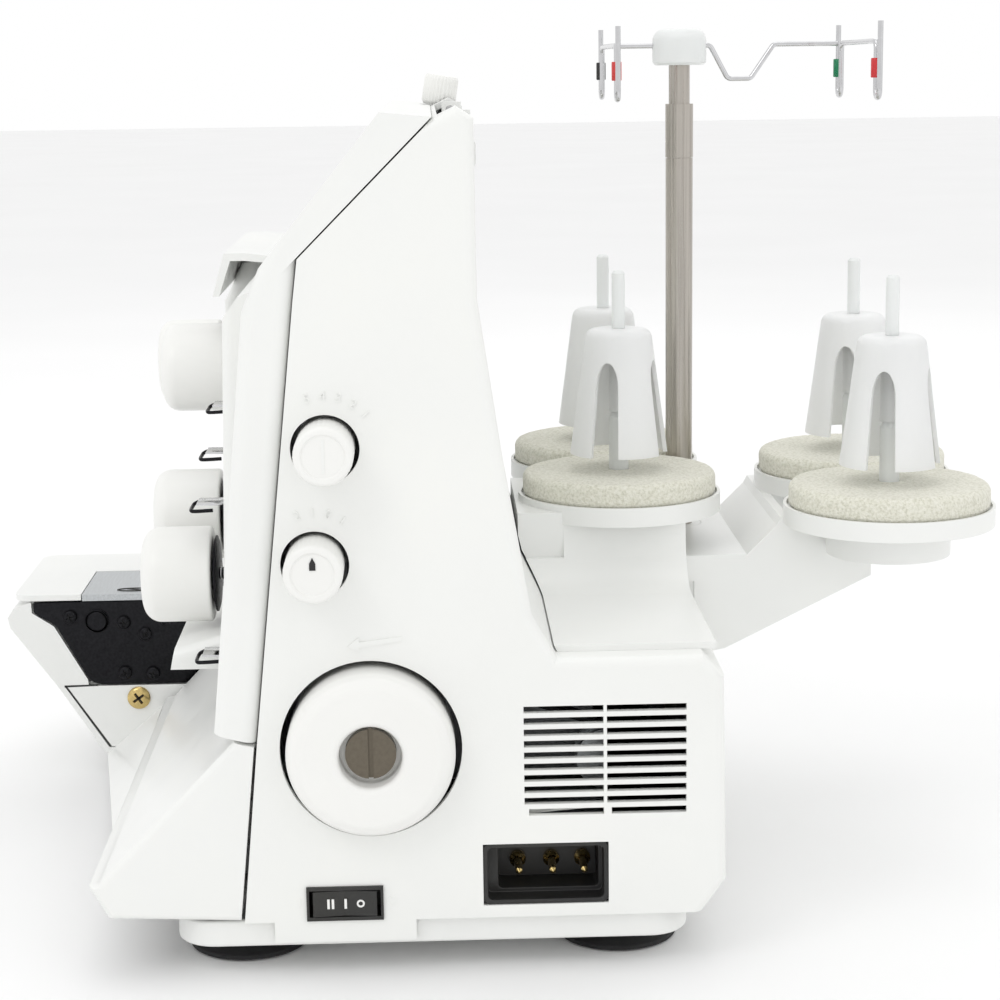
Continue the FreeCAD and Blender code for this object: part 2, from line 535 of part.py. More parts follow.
def make_left_bed():
    nose = [("nose_top_y", "bed_top - seam_gap"), ("nose_y + 2.6", "nose_z + 4"),
            ("nose_y", "nose_z"), ("nose_y + 1", "nose_z - 4.6"),
            ("nose_low_y", "nose_low_z"), ("chin_y", "chin_z"), (-104, "chin_z"),
            (-104, "tray_high"), ("plate_rear", "tray_high"),
            ("plate_rear", "bed_top - seam_gap")]
    outer, core = hollow("nose", "YZ_Plane", nose, "body_left", "bed_right - 0.2",
                         "body_left + wall_thick", "bed_right + 5")
    top_open = box("nose_top_open", ("body_left + 8", 0), (-182, "plate_rear - 3"),
                   ("bed_top - 6", "bed_top + 1"))
    backing = prism("guard_backing", "YZ_Plane",
                    [(-175.5, 41), ("plate_rear - 1", 41), ("plate_rear - 1", "tray_high + 1"),
                     (-105, "tray_high + 1"), (-105, "chin_z + 1"), ("chin_y + 1.2", "chin_z + 1")],
                    "bed_right - 6", "bed_right - 3.4")
    guard = prism("housing_guard", "YZ_Plane",
                  [(-173.9, 39.6), ("plate_rear - 6", 39.6), ("plate_rear - 6", "tray_high + 3"),
                   (-106.9, "tray_high + 3"), (-106.9, "chin_z + 2.9"), (-155.7, "chin_z + 2.9")],
                  "bed_right - 3.5", "bed_right - 0.2")
    rim = prism("housing_rim", "YZ_Plane",
                [("nose_top_y + 1", "bed_top - seam_gap - 0.5"), ("nose_y + 3.4", "nose_z + 3.2"),
                 ("nose_y + 1", "nose_z - 0.2"), ("nose_y + 2.2", "nose_z - 4.8"),
                 ("nose_low_y + 1", "nose_low_z"), (-164, "nose_low_z"),
                 (-168, "bed_top - seam_gap - 0.5")], "bed_right - 6", "bed_right - 0.2")
    rim_recess = prism("rim_recess", "YZ_Plane",
                       [(-187.3, "bed_top + 1"), (-187.1, 73), (-177.9, 66.9), (-163.3, 40.9),
                        (-163.3, 38), (-150, 38), (-150, "bed_top + 1")],
                       "bed_right - 3.2", "bed_right + 1")
    rim_window = prism("rim_window", "YZ_Plane",
                       [(-182.5, 74), (-174.5, 68.5), (-164, 47), (-150, 44), (-150, 74)],
                       "bed_right - 7", "bed_right + 1")
    pivot_hole = rod("cloth_pivot_hole", "Z", "cloth_pin + run_fit", "bed_top - 8",
                     "bed_top + 1", x="cloth_pivot_x", y="cloth_pivot_y")
    plate_seat = box("plate_seat", ("bed_right - 3.2", "bed_right + 1"), (-187.3, -181.9),
                     ("bed_top - 3.1", "bed_top + 1"))
    shell = cut("nose_shell", outer, core, top_open, plate_seat, pivot_hole)
    ring = cut("housing_ring", rim, rim_recess, rim_window)
    keep(fuse("looper_housing_all", shell, backing, guard, ring, toe_wedge()), "looper_housing")

    board = box("cloth_board", ("body_left", "bed_right"), ("nose_y + 3", "plate_rear"),
                ("bed_top + cloth_gap", "plate_top"))
    board = rounded("cloth_round", board, "7", lambda middle, along, edge:
                    along == "Z" and middle.y < -180)
    window = box("cloth_window", ("needle_plate_left - seam_gap", "bed_right + 1"),
                 ("needle_plate_front - seam_gap", "plate_rear + 1"), (70, 90))
    stub = rod("cloth_stub", "Z", "cloth_pin", "bed_top - 4", "plate_top - 1",
               x="cloth_pivot_x", y="cloth_pivot_y")
    keep(fuse("cloth_plate_all", cut("cloth_plate_cut", board, window), stub), "cloth_plate")

    plate = box("needle_board", ("needle_plate_left", "bed_right"),
                ("needle_plate_front", "plate_rear"), ("bed_top", "plate_top - 0.2"))
    slots = [box("feed_slot_%d" % index, ("needle_x %+.1f" % (offset - 1.6),
                                          "needle_x %+.1f" % (offset + 1.6)),
                 ("needle_y - 14", "needle_y + 16"), (70, 90))
             for index, offset in enumerate((-8.0, 8.0))]
    slots.append(box("needle_slot", ("needle_x - 5", "needle_x + 5"),
                     ("needle_y - 2", "needle_y + 2"), (70, 90)))
    slots.append(box("knife_slot", ("needle_x + 13", "needle_x + 17"), (-131, -112),
                     (70, 90)))
    keep(cut("needle_plate_cut", plate, group("needle_plate_slots", *slots)), "needle_plate")

    black = [(-186.5, "bed_top - 0.3"), (-186.3, 73.4), (-177.5, 67.7), (-162.9, 41.7),
             (-150, 40), ("plate_rear - 2.8", 40), ("plate_rear - 2.8", "bed_top - 0.3")]
    plate = prism("looper_plate_body", "YZ_Plane", black, "bed_right - 3", "bed_right")
    spots = [(-170.6, 71.0), (-147.4, 68.1), (-138.2, 62.8), (-147.7, 45.4), (-135.5, 44.9),
             (-118.0, 54.0)]
    screws = [turned("plate_screw_%d" % index, "X",
                     [(0, 0), (0, 2.9), (0.9, 2.9), (1.6, 1.9), (1.6, 0)],
                     x="bed_right", y=spot_y, z=spot_z)
              for index, (spot_y, spot_z) in enumerate(spots)]
    keep(group("plate_screw_group", plate, *screws), "looper_frame_plate")
    keep(turned("chain_screw", "X", [(0, 0), (0, 5), (1.0, 5), (2.0, 3.2), (2.0, 0)],
                x="bed_right - 0.2", y=-142.3, z=33.9), "cover_screw")


def make_front_cover():
    outline = [("apron_top_y", "apron_top_z + 1.6"), ("apron_lip_y", "apron_lip_z"),
               ("apron_front_y", "apron_front_z"), ("apron_toe_y", "apron_toe_z"),
               ("seam_low_y - 1.2", "tray_high + 0.6"), ("seam_mid_y - 1.0", "apron_top_z")]
    outer, core = hollow("apron", "YZ_Plane", outline, "apron_left", "body_right",
                         "apron_left + wall_thick", "body_right - wall_thick")
    outer = rounded("apron_round", outer, "2.2", lambda middle, along, edge:
                    abs(middle.x - number("body_right")) < 0.01
                    and middle.y < number("apron_top_y") + 0.5)
    back = prism("apron_back", "YZ_Plane",
                 [("apron_toe_y + 2.5", "tray_high - 1"), ("apron_toe_y + 2.5", "apron_lip_z"),
                  ("apron_top_y", "apron_top_z - 3.6"), ("seam_mid_y + 5", "apron_top_z - 3.6"),
                  ("seam_mid_y + 5", "tray_high - 1")],
                 "apron_left - 1", "body_right - wall_thick")
    lugs = [box("apron_lug_%d" % index, (spot, spot + 8),
                ("apron_toe_y + 1", "apron_hinge_y + 3.4"),
                ("apron_hinge_z - 3.2", "apron_hinge_z + 3.4"))
            for index, spot in enumerate(LUG_SPOTS)]
    bore = rod("apron_bore", "X", "2 + run_fit", -75, 135, y="apron_hinge_y",
               z="apron_hinge_z")
    shell = fuse("apron_lugs", cut("apron_shell", outer, core, back), *lugs)
    keep(cut("apron_final", shell, bore), "looper_cover")
    rail = rod("rod_bar", "X", 2, -74, 134, y="apron_hinge_y", z="apron_hinge_z")
    keep(rail, "cover_hinge_rod")


# ---------------------------------------------------------------- drive
def make_drive():
    keep(turned("wheel", "X",
                [("wheel_back", "shaft_radius"), ("wheel_back", "wheel_radius - 1.2"),
                 ("wheel_back + 1.2", "wheel_radius"), ("wheel_face - 5", "wheel_radius"),
                 ("wheel_face - 1.6", "wheel_radius - 1.3"), ("wheel_face", "wheel_radius - 4.5"),
                 ("wheel_face", "wheel_hub + 1.5"), ("wheel_face - 1.2", "wheel_hub"),
                 ("wheel_face - 9", "wheel_hub"), ("wheel_face - 9", "shaft_radius")],
                y="wheel_y", z="wheel_z"), "handwheel")
    head = rod("wheel_screw_head", "X", 8.5, "wheel_face - 9", "wheel_face - 5.5",
               y="wheel_y", z="wheel_z")
    slit = box("wheel_screw_slit", ("wheel_face - 7", "wheel_face"),
               ("wheel_y - 0.8", "wheel_y + 0.8"), ("wheel_z - 9", "wheel_z + 9"))
    keep(cut("wheel_screw", head, slit), "handwheel_screw")
    keep(rod("main_shaft_bar", "X", "shaft_radius", "shaft_left", "wheel_face - 9",
             y="wheel_y", z="wheel_z"), "main_shaft")
    keep(turned("big_pulley", "X",
                [("belt_x - 2", "shaft_radius"), ("belt_x - 2", "pulley_radius + 3"),
                 ("belt_x", "pulley_radius + 3"), ("belt_x", "pulley_radius"),
                 ("belt_x + belt_wide", "pulley_radius"),
                 ("belt_x + belt_wide", "pulley_radius + 3"),
                 ("belt_x + belt_wide + 2", "pulley_radius + 3"),
                 ("belt_x + belt_wide + 2", "shaft_radius")],
                y="wheel_y", z="wheel_z"), "drive_pulley")
    can = turned("motor_can", "X",
                 [("motor_left", 0), ("motor_left", "motor_radius - 3"),
                  ("motor_left + 3", "motor_radius"),
                  ("plate_right_x - 2", "motor_radius"),
                  ("plate_right_x", "motor_radius - 2"), ("plate_right_x", "3 + run_fit"),
                  ("motor_left + 6", "3 + run_fit"), ("motor_left + 6", 0)],
                 y="motor_y", z="motor_z")
    keep(can, "motor")
    keep(turned("small_pulley", "X",
                [("motor_left + 6.5", 0), ("motor_left + 6.5", 3), ("belt_x - 1.5", 3),
                 ("belt_x - 1.5", "motor_pulley_radius + 2"),
                 ("belt_x + 0.5", "motor_pulley_radius + 2"),
                 ("belt_x + 0.5", "motor_pulley_radius"),
                 ("belt_x + belt_wide - 0.5", "motor_pulley_radius"),
                 ("belt_x + belt_wide - 0.5", "motor_pulley_radius + 2"),
                 ("belt_x + belt_wide + 1.5", "motor_pulley_radius + 2"),
                 ("belt_x + belt_wide + 1.5", 0)],
                y="motor_y", z="motor_z"), "motor_pulley")
    keep(drive_belt(), "drive_belt")


def belt_loop(grow):
    """The belt's run round both pulleys: two arcs and their outer tangents."""
    big = number("pulley_radius") + grow
    small = number("motor_pulley_radius") + grow
    start = V(0, number("wheel_y"), number("wheel_z"))
    end = V(0, number("motor_y"), number("motor_z"))
    gap = end - start
    away = V(gap).normalize()
    up = V(1, 0, 0).cross(away)
    lean = (big - small) / gap.Length
    rise = (1 - lean * lean) ** 0.5
    high = away * lean + up * rise
    low = away * lean - up * rise
    edges = [Part.Arc(start + low * big, start - away * big, start + high * big).toShape(),
             Part.LineSegment(start + high * big, end + high * small).toShape(),
             Part.Arc(end + high * small, end + away * small, end + low * small).toShape(),
             Part.LineSegment(end + low * small, start + low * big).toShape()]
    return Part.Face(Part.Wire(Part.__sortEdges__(edges)))


def drive_belt():
    fit = number("run_fit")
    run = V(number("belt_wide") - 1.6, 0, 0)
    outside = belt_loop(fit + number("belt_thick")).extrude(run)
    inside = belt_loop(fit).extrude(run)
    belt = doc.addObject("Part::Feature", "drive_belt_solid")
    belt.Shape = outside.cut(inside)
    return place(belt, "belt_x + 0.8")


# ---------------------------------------------------------------- knobs, switch, inlet
def make_controls():
    for knob, label in (("length", "stitch_length_knob"), ("diff", "differential_feed_knob")):
        keep(turned(knob + "_knob", "X",
                    [("knob_back", 0), ("knob_back", 3), ("body_right - 6", 3),
                     ("body_right - 6", "knob_radius"), ("knob_face - 1.2", "knob_radius"),
                     ("knob_face", "knob_radius - 1.2"), ("knob_face", "knob_radius - 1.6"),
                     ("knob_face - 0.8", "knob_radius - 1.8"), ("knob_face - 0.8", 0)],
                    y=knob + "_y", z=knob + "_z"), label)
    rocker = prism("rocker_blank", "XY_Plane",
                   [("body_right - 6", "-switch_long / 2 + 2.8"),
                    ("body_right + 1.2", "-switch_long / 2 + 2.2"),
                    ("body_right + 0.2", 0),
                    ("body_right + 1.2", "switch_long / 2 - 2.2"),
                    ("body_right - 6", "switch_long / 2 - 2.8")],
                   "switch_z - switch_high / 2 + 1.6", "switch_z + switch_high / 2 - 1.6")
    place(rocker, 0, "switch_y", 0)
    axle = rod("rocker_axle", "Z", 1.5, "switch_z - switch_high / 2 + 0.6",
               "switch_z + switch_high / 2 - 0.6", x="body_right - 4", y="switch_y")
    keep(fuse("rocker_all", rocker, axle), "switch_rocker")
    shell = box("switch_shell", ("body_right - 16", "body_right + 0.8"),
                ("switch_y - switch_long / 2", "switch_y + switch_long / 2"),
                ("switch_z - switch_high / 2", "switch_z + switch_high / 2"))
    well = box("switch_well", ("body_right - 10", "body_right + 2"),
               ("switch_y - switch_long / 2 + 0.9", "switch_y + switch_long / 2 - 0.9"),
               ("switch_z - switch_high / 2 + 1.3", "switch_z + switch_high / 2 - 1.3"))
    seat = rod("switch_seat", "Z", "1.5 + run_fit", "switch_z - switch_high / 2 + 0.55",
               "switch_z + switch_high / 2 - 0.55", x="body_right - 4", y="switch_y")
    keep(cut("switch_housing_cut", shell, well, seat), "switch_housing")

    block = box("inlet_block", ("body_right - inlet_deep - 2", "body_right - 0.6"),
                ("inlet_front", "inlet_rear"), ("inlet_low", "inlet_high"))
    mouth = box("inlet_mouth", ("body_right - 8", "body_right + 1"),
                ("inlet_front + 1.6", "inlet_rear - 1.6"), ("inlet_low + 1.6", "inlet_high - 1.6"))
    well = box("inlet_well", ("body_right - inlet_deep", "body_right + 1"),
               (8.6, 42.8), (27.4, 42.0))
    keep(cut("inlet_cut", block, mouth, well), "power_inlet")
    pins = []
    for index, spot in enumerate((15.6, 27.2, 38.0)):
        pins.append(turned("inlet_pin_%d" % index, "X",
                           [("body_right - inlet_deep", 0), ("body_right - inlet_deep", 2.8),
                            ("body_right - inlet_deep + 2", 2.8),
                            ("body_right - inlet_deep + 3", 1.6),
                            ("body_right - inlet_deep + pin_long + 4", 1.15),
                            ("body_right - inlet_deep + pin_long + 5", 0)],
                           y=spot, z="pin_z"))
    keep(group("inlet_pin_group", *pins), "inlet_pins")


# ---------------------------------------------------------------- needle, presser, loopers
def make_stitching():
    keep(rod("needle_bar_rod", "Z", "bar_radius", "needle_rest + 30", 217,
             x="needle_x", y="needle_y"), "needle_bar")
    clamp = box("clamp_block", ("needle_x - 6", "needle_x + 6"), ("needle_y - 5", "needle_y + 4"),
                ("needle_rest + 22", "needle_rest + 30"))
    clamp_screw = rod("clamp_screw", "Y", 1.5, "needle_y - 9", "needle_y - 5",
                      x="needle_x", z="needle_rest + 26")
    needles = [turned("needle_%d" % index, "Z",
                      [(0, 0), (2.5, 0.45), (12, 0.5), (13, 1.0), (22, 1.0), (22, 0)],
                      x="needle_x %+.1f" % offset, y="needle_y", z="needle_rest")
               for index, offset in enumerate((-2.6, 2.6))]
    keep(group("needle_group", fuse("clamp_all", clamp, clamp_screw), *needles), "needle_clamp")
    collar = box("presser_collar", ("needle_x - 6", "needle_x + 17"),
                 ("presser_y - 5", "presser_y + 18"), (166, 172))
    keep(fuse("presser_bar_all", rod("presser_bar_rod", "Z", "bar_radius", 93, 205,
                                     x="needle_x", y="presser_y"), collar), "presser_bar")
    sole = box("foot_sole", ("needle_x - 11", "needle_x + 11"), ("needle_y - 26", "presser_y + 5"),
               ("plate_top + 0.3", "plate_top + 2.3"))
    eye = box("foot_eye", ("needle_x - 5", "needle_x + 5"), ("needle_y - 3", "needle_y + 3"),
              ("plate_top - 2", "plate_top + 4"))
    toe = prism("foot_toe", "YZ_Plane",
                [("needle_y - 26", "plate_top + 0.3"), ("needle_y - 26", "plate_top + 2.3"),
                 ("needle_y - 30", "plate_top + 5.5"), ("needle_y - 31", "plate_top + 4.3")],
                "needle_x - 11", "needle_x + 11")
    shank = box("foot_shank", ("needle_x - 4", "needle_x + 4"), ("presser_y - 4", "presser_y + 5"),
                ("plate_top + 2.3", 93))
    keep(fuse("foot_all", cut("foot_sole_cut", sole, eye), toe, shank), "presser_foot")
    lever_hub = rod("lifter_hub", "X", 6, "needle_x + 9.5", "needle_x + 16.5", y=-24, z=172)
    lever_arm = box("lifter_arm", ("needle_x + 9.5", "needle_x + 16.5"), (-24, 6), (169, 175))
    lever_paddle = rounded("lifter_paddle_round",
                           box("lifter_paddle", ("needle_x + 7", "needle_x + 19"), (2, 14),
                               (167.5, 174.5)), "2.4",
                           lambda middle, along, edge: middle.y > 2.5)
    lever_bore = rod("lifter_bore", "X", "2.5 + run_fit", "needle_x", "needle_x + 30", y=-24,
                     z=172)
    keep(cut("lifter_cut", fuse("lifter_all", lever_hub, lever_arm, lever_paddle), lever_bore),
         "presser_lifter")
    dogs = [box("feed_dog_%d" % index, ("needle_x %+.1f" % (offset - 1.2),
                                        "needle_x %+.1f" % (offset + 1.2)),
                ("needle_y - 10", "needle_y + 7"), (72, "plate_top - 1.0"))
            for index, offset in enumerate((-8.0, 8.0))]
    cradle = box("feed_cradle", ("needle_x - 10", "needle_x + 10"),
                 ("needle_y - 10", "needle_y + 7"), (68, 72))
    gap = box("feed_gap", ("needle_x - 5.5", "needle_x + 5.5"), ("needle_y - 5", "needle_y + 5"),
              (67, 73))
    keep(fuse("feed_all", cut("feed_cradle_cut", cradle, gap), *dogs), "feed_dogs")
    for label, pivot_y, pivot_z, hook_y, hook_z in (
            ("upper_looper", -128, 52, -104, 66), ("lower_looper", -118, 30, -96, 52)):
        arm = prism(label + "_arm", "YZ_Plane",
                    [(pivot_y - 4, pivot_z - 4), (pivot_y + 4, pivot_z - 4),
                     (hook_y + 2, hook_z - 4), (hook_y + 2, hook_z), (hook_y - 3, hook_z + 1),
                     (pivot_y - 4, pivot_z + 4)],
                    "needle_x + 5" if label == "upper_looper" else "needle_x - 9",
                    "needle_x + 9" if label == "upper_looper" else "needle_x - 5")
        stem = rod(label + "_hub", "X", 5, "needle_x - 9", "needle_x + 9", y=pivot_y, z=pivot_z)
        bore = rod(label + "_bore", "X", "2.5 + run_fit", "needle_x - 20", "needle_x + 30",
                   y=pivot_y, z=pivot_z)
        keep(cut(label + "_cut", fuse(label + "_all", arm, stem), bore), label)
    knife_hub = rod("knife_hub", "X", 5, "needle_x + 12", "needle_x + 20", y=-150, z=62)
    knife_arm = box("knife_arm", ("needle_x + 14", "needle_x + 18"), (-150, -118), (60, 66))
    knife_blade = box("knife_blade", ("needle_x + 14", "needle_x + 16"), (-126, -118), (66, 77))
    knife_bore = rod("knife_bore", "X", "2.5 + run_fit", "needle_x", "needle_x + 30", y=-150,
                     z=62)
    keep(cut("knife_cut", fuse("knife_all", knife_hub, knife_arm, knife_blade), knife_bore),
         "upper_knife")


# ---------------------------------------------------------------- top and front details
def make_details():
    grip = rounded("grip_round", box("grip_bar", (-68, 118), (-4, 5.3), (270, 281)), "3",
                   lambda middle, along, edge: along == "X")
    cheeks = [box("grip_cheek_%d" % index, span, (-4.5, 3.5), (270, 290))
              for index, span in enumerate(((-76, -68), (118, 126)))]
    bores = group("grip_bores", *[rod("grip_bore_%d" % index, "X", "2 + run_fit", low, high,
                                      y=-1, z=286.5)
                                  for index, (low, high) in enumerate(((-77, -67), (117, 127)))])
    keep(cut("grip_cut", fuse("grip_all", grip, *cheeks), bores), "carrying_handle")
    knob = turned("press_knob_body", "Z",
                  [(-37, 0), (-37, 2.5), (0, 2.5), (0, "press_knob_radius"),
                   ("press_knob_long - 1.4", "press_knob_radius"),
                   ("press_knob_long", "press_knob_radius - 1.4"), ("press_knob_long", 0)])
    keep(leaning(knob, 0), "presser_pressure_knob")

    posts = []
    discs = []
    for index, (dial_x, dial_z, rear) in enumerate(DIAL_SPOTS, 1):
        keep(turned("dial_%d" % index, "Y",
                    [("-dial_long", 0), ("-dial_long", "dial_radius - 4"),
                     ("-dial_long + 1.2", "dial_radius - 1.6"),
                     ("-dial_long + 4", "dial_radius"), (-1, "dial_radius"),
                     (0, "dial_radius - 1"), (0, "2.5 + run_fit"),
                     ("-dial_long + 6", "2.5 + run_fit"), ("-dial_long + 6", 0)],
                    x=dial_x, y=rear, z=dial_z), "tension_dial_%d" % index)
        posts.append(rod("dial_post_%d" % index, "Y", 2.5, "%s - dial_long + 6.5" % rear,
                         panel_surface(index, dial_z), x=dial_x, z=dial_z))
        disc = rod("dial_disc_%d" % index, "Y", 14.5, "%s + 0.8" % rear, "%s + 2.2" % rear,
                   x=dial_x, z=dial_z)
        hole = rod("dial_disc_hole_%d" % index, "Y", 2.5, "%s - 9" % rear, "%s + 4" % rear,
                   x=dial_x, z=dial_z)
        discs.append(cut("dial_disc_cut_%d" % index, disc, hole))

    guide = prism("guide_plate_blank", "YZ_Plane",
                  [(-97, 216), (-92, 233), (-84, 233), (-72.2, 231.6), (-72.2, 228.8),
                   (-84, 230), (-89.6, 230), (-94.4, 216)], -140, -18)
    holes = [rod("guide_hole_%d" % index, "Y", 1.6, -100, -88, x=spot, z=223)
             for index, spot in enumerate((-120, -92, -50, -28))]
    keep(cut("guide_plate_cut", guide, group("guide_holes", *holes)), "thread_guide_plate")
    clips = []
    for index, (clip_x, clip_y, clip_z) in enumerate(
            ((-16, -87.4, 174), (12, -87.9, 160), (48, -88.3, 147), (68.5, -86.2, 95))):
        clips.append(box("clip_%d" % index, (clip_x, clip_x + 12), (clip_y - 10, clip_y),
                         (clip_z, clip_z + 1.2)))
    keep(group("tension_steel", *(posts + discs + clips)), "tension_posts_and_guides")


DIAL_SPOTS = [(-92, 181, "dial_one_rear_y"), (-50, 184, "dial_rear_y"),
              (-5, 131, "dial_rear_y"), (40, 117, "dial_rear_y")]


def panel_surface(dial, height):
    """Where a dial's post leaves the raised panel; the first dial is on the needle-bar head."""
    if dial == 1:
        return "head_y"
    slope = "(panel_high_y - panel_mid_y) / (panel_high_z - panel_mid_z)"
    return "panel_mid_y + (%s - panel_mid_z) * %s - 0.2" % (height, slope)


# ---------------------------------------------------------------- spool stand
FRONT_PINS = [19, -56]
REAR_PINS = [56, -19]


def spool_tray(name, pins, row):
    rims = [rod("%s_rim_%d" % (name, index), "Z", "lip_radius", "spool_low", "spool_lip",
                x=spot, y=row) for index, spot in enumerate(pins)]
    wells = [rod("%s_well_%d" % (name, index), "Z", "tray_inner", "spool_floor",
                 "spool_lip + 1", x=spot, y=row) for index, spot in enumerate(pins)]
    scoops = [rod("%s_scoop_%d" % (name, index), "Z", "tray_inner - 2", "spool_low - 1",
                  "spool_floor - 2.6", x=spot, y=row) for index, spot in enumerate(pins)]
    return cut(name, fuse(name + "_rims", *rims), fuse(name + "_wells", *wells),
               fuse(name + "_scoops", *scoops))


def make_stand():
    skirt = prism("stand_block", "XZ_Plane",
                  [("block_left", "spool_floor - 1"), ("block_right", "spool_floor - 1"),
                   ("block_right", "house_top + skirt_thick"),
                   ("block_skirt", "house_top + skirt_thick"), ("block_skirt", "house_top"),
                   ("block_left", "house_top")], "-block_rear", "-block_front")
    skirt = rounded("stand_sweep", skirt, "skirt_round", lambda middle, along, edge:
                    along == "Y" and abs(middle.x - number("block_right")) < 0.1
                    and middle.z < number("house_top") + 5)
    clear = prism("stand_clear", "YZ_Plane",
                  [("back_foot_y - 9.2", "house_top - 1"), ("back_foot_y + 0.6", "house_top - 1"),
                   ("back_foot_y + 0.6", "house_top"), ("back_low_y + 0.9", "back_low_z"),
                   ("back_low_y - 4", "back_low_z + 20"), (10, "back_low_z + 20")],
                  "block_left - 1", "block_skirt + 1")
    notch = box("stand_notch", ("block_right - 0.1", 200), ("block_front - 1", 37.3),
                (122.7, 140))
    post_socket = rod("pole_socket", "Z", 9, "pole_low", 121, x="pole_x", y="pole_y")
    bridge = box("pole_bridge", ("pole_x - 7.4", "pole_x + 7.4"), ("block_rear - 1", "pole_y"),
                 ("pole_low", 121))
    pole_bore = rod("pole_bore", "Z", "pole_low_radius", "pole_low", 145, x="pole_x",
                    y="pole_y")
    tray = spool_tray("front_tray", FRONT_PINS, "front_pin_y")
    keep(cut("stand_base_cut", fuse("stand_base_all", cut("stand_block_cut", skirt, clear, notch),
                                    tray, bridge, post_socket), pole_bore), "spool_stand_base")

    web = [("block_rear", 121), ("pole_y + 18.8", 121), ("pole_y + 30", 132),
           ("pole_y + 31.5", "spool_low"), ("rear_pin_y - 8", "spool_low"),
           ("rear_pin_y - 4", 116), ("rear_pin_y - 4", 112), (99, 84.6), (90.2, 82.9),
           (87.2, 82.9), (87.2, "house_top + 1"), ("block_rear", "house_top + 1")]
    webs = [prism("arm_web_left", "YZ_Plane", web, "-arm_half", "-arm_half + arm_thick"),
            prism("arm_web_right", "YZ_Plane", web, "arm_half - arm_thick", "arm_half")]
    flange = prism("arm_flange", "YZ_Plane",
                   [("block_rear", 121), ("pole_y + 18.8", 121), ("pole_y + 30", 132),
                    ("pole_y + 31.5", "spool_low"), ("pole_y + 35", "spool_low"),
                    ("pole_y + 33", 130.8), ("pole_y + 20", 118), ("block_rear", 118)],
                   "-arm_half", "arm_half")
    hole = rod("arm_hole", "Z", "9.2", 80, 125, x="pole_x", y="pole_y")
    bosses = [rod("arm_boss_%d" % index, "Z", 23, 123.5, "spool_floor - 1", x=spot,
                  y="rear_pin_y")
              for index, spot in enumerate(REAR_PINS)]
    rear_tray = spool_tray("rear_tray", REAR_PINS, "rear_pin_y")
    keep(cut("stand_arm_cut", fuse("stand_arm_all", *(webs + [flange, rear_tray] + bosses)),
             hole), "spool_stand_arm")

    spots = [(pin, "front_pin_y") for pin in FRONT_PINS] + [(pin, "rear_pin_y")
                                                           for pin in REAR_PINS]
    pins = []
    foams = []
    for index, (spot, row) in enumerate(spots, 1):
        pins.append(turned("pin_%d" % index, "Z",
                           [("spool_floor", 0), ("spool_floor", "pin_low_radius"),
                            ("pin_step_z", "pin_low_radius"),
                            ("pin_step_z + 2", "pin_high_radius"),
                            ("pin_top_z - 1", "pin_high_radius"),
                            ("pin_top_z", "pin_high_radius - 0.8"), ("pin_top_z", 0)],
                           x=spot, y=row))
        foams.append(turned("foam_%d" % index, "Z",
                            [("spool_floor", "pin_low_radius"), ("spool_floor", "foam_radius - 1.5"),
                             ("spool_floor + 1.5", "foam_radius"),
                             ("spool_floor + foam_thick - 2", "foam_radius"),
                             ("spool_floor + foam_thick", "foam_radius - 2"),
                             ("spool_floor + foam_thick", "pin_low_radius")], x=spot, y=row))
        cone = turned("cone_%d" % index, "Z",
                      [("cone_low", "cone_foot_radius - cone_wall"),
                       ("cone_low", "cone_foot_radius"),
                       ("cone_high", "cone_head_radius"), ("cone_high", "pin_high_radius + 0.1"),
                       ("cone_high - cone_wall", "pin_high_radius + 0.1"),
                       ("cone_high - cone_wall", "cone_head_radius - cone_wall")],
                      x=spot, y=row)
        sleeve = turned("cone_sleeve_%d" % index, "Z",
                        [("pin_step_z + 2.1", "pin_high_radius + 0.1"),
                         ("pin_step_z + 2.1", "pin_low_radius"),
                         ("cone_high - 1", "pin_low_radius"),
                         ("cone_high - 1", "pin_high_radius + 0.1")], x=spot, y=row)
        gaps = [box("cone_gap_%d_a" % index, ("%s - 3.2" % spot, "%s + 3.2" % spot),
                    ("%s - 30" % row, "%s + 30" % row), ("cone_low - 1", "cone_low + 36")),
                box("cone_gap_%d_b" % index, ("%s - 30" % spot, "%s + 30" % spot),
                    ("%s - 3.2" % row, "%s + 3.2" % row), ("cone_low - 1", "cone_low + 36"))]
        keep(fuse("cone_done_%d" % index, cut("cone_cut_%d" % index, cone, *gaps), sleeve),
             "cone_holder_%d" % index)
    keep(group("pin_group", *pins), "spool_pins")
    keep(group("foam_group", *foams), "foam_discs")


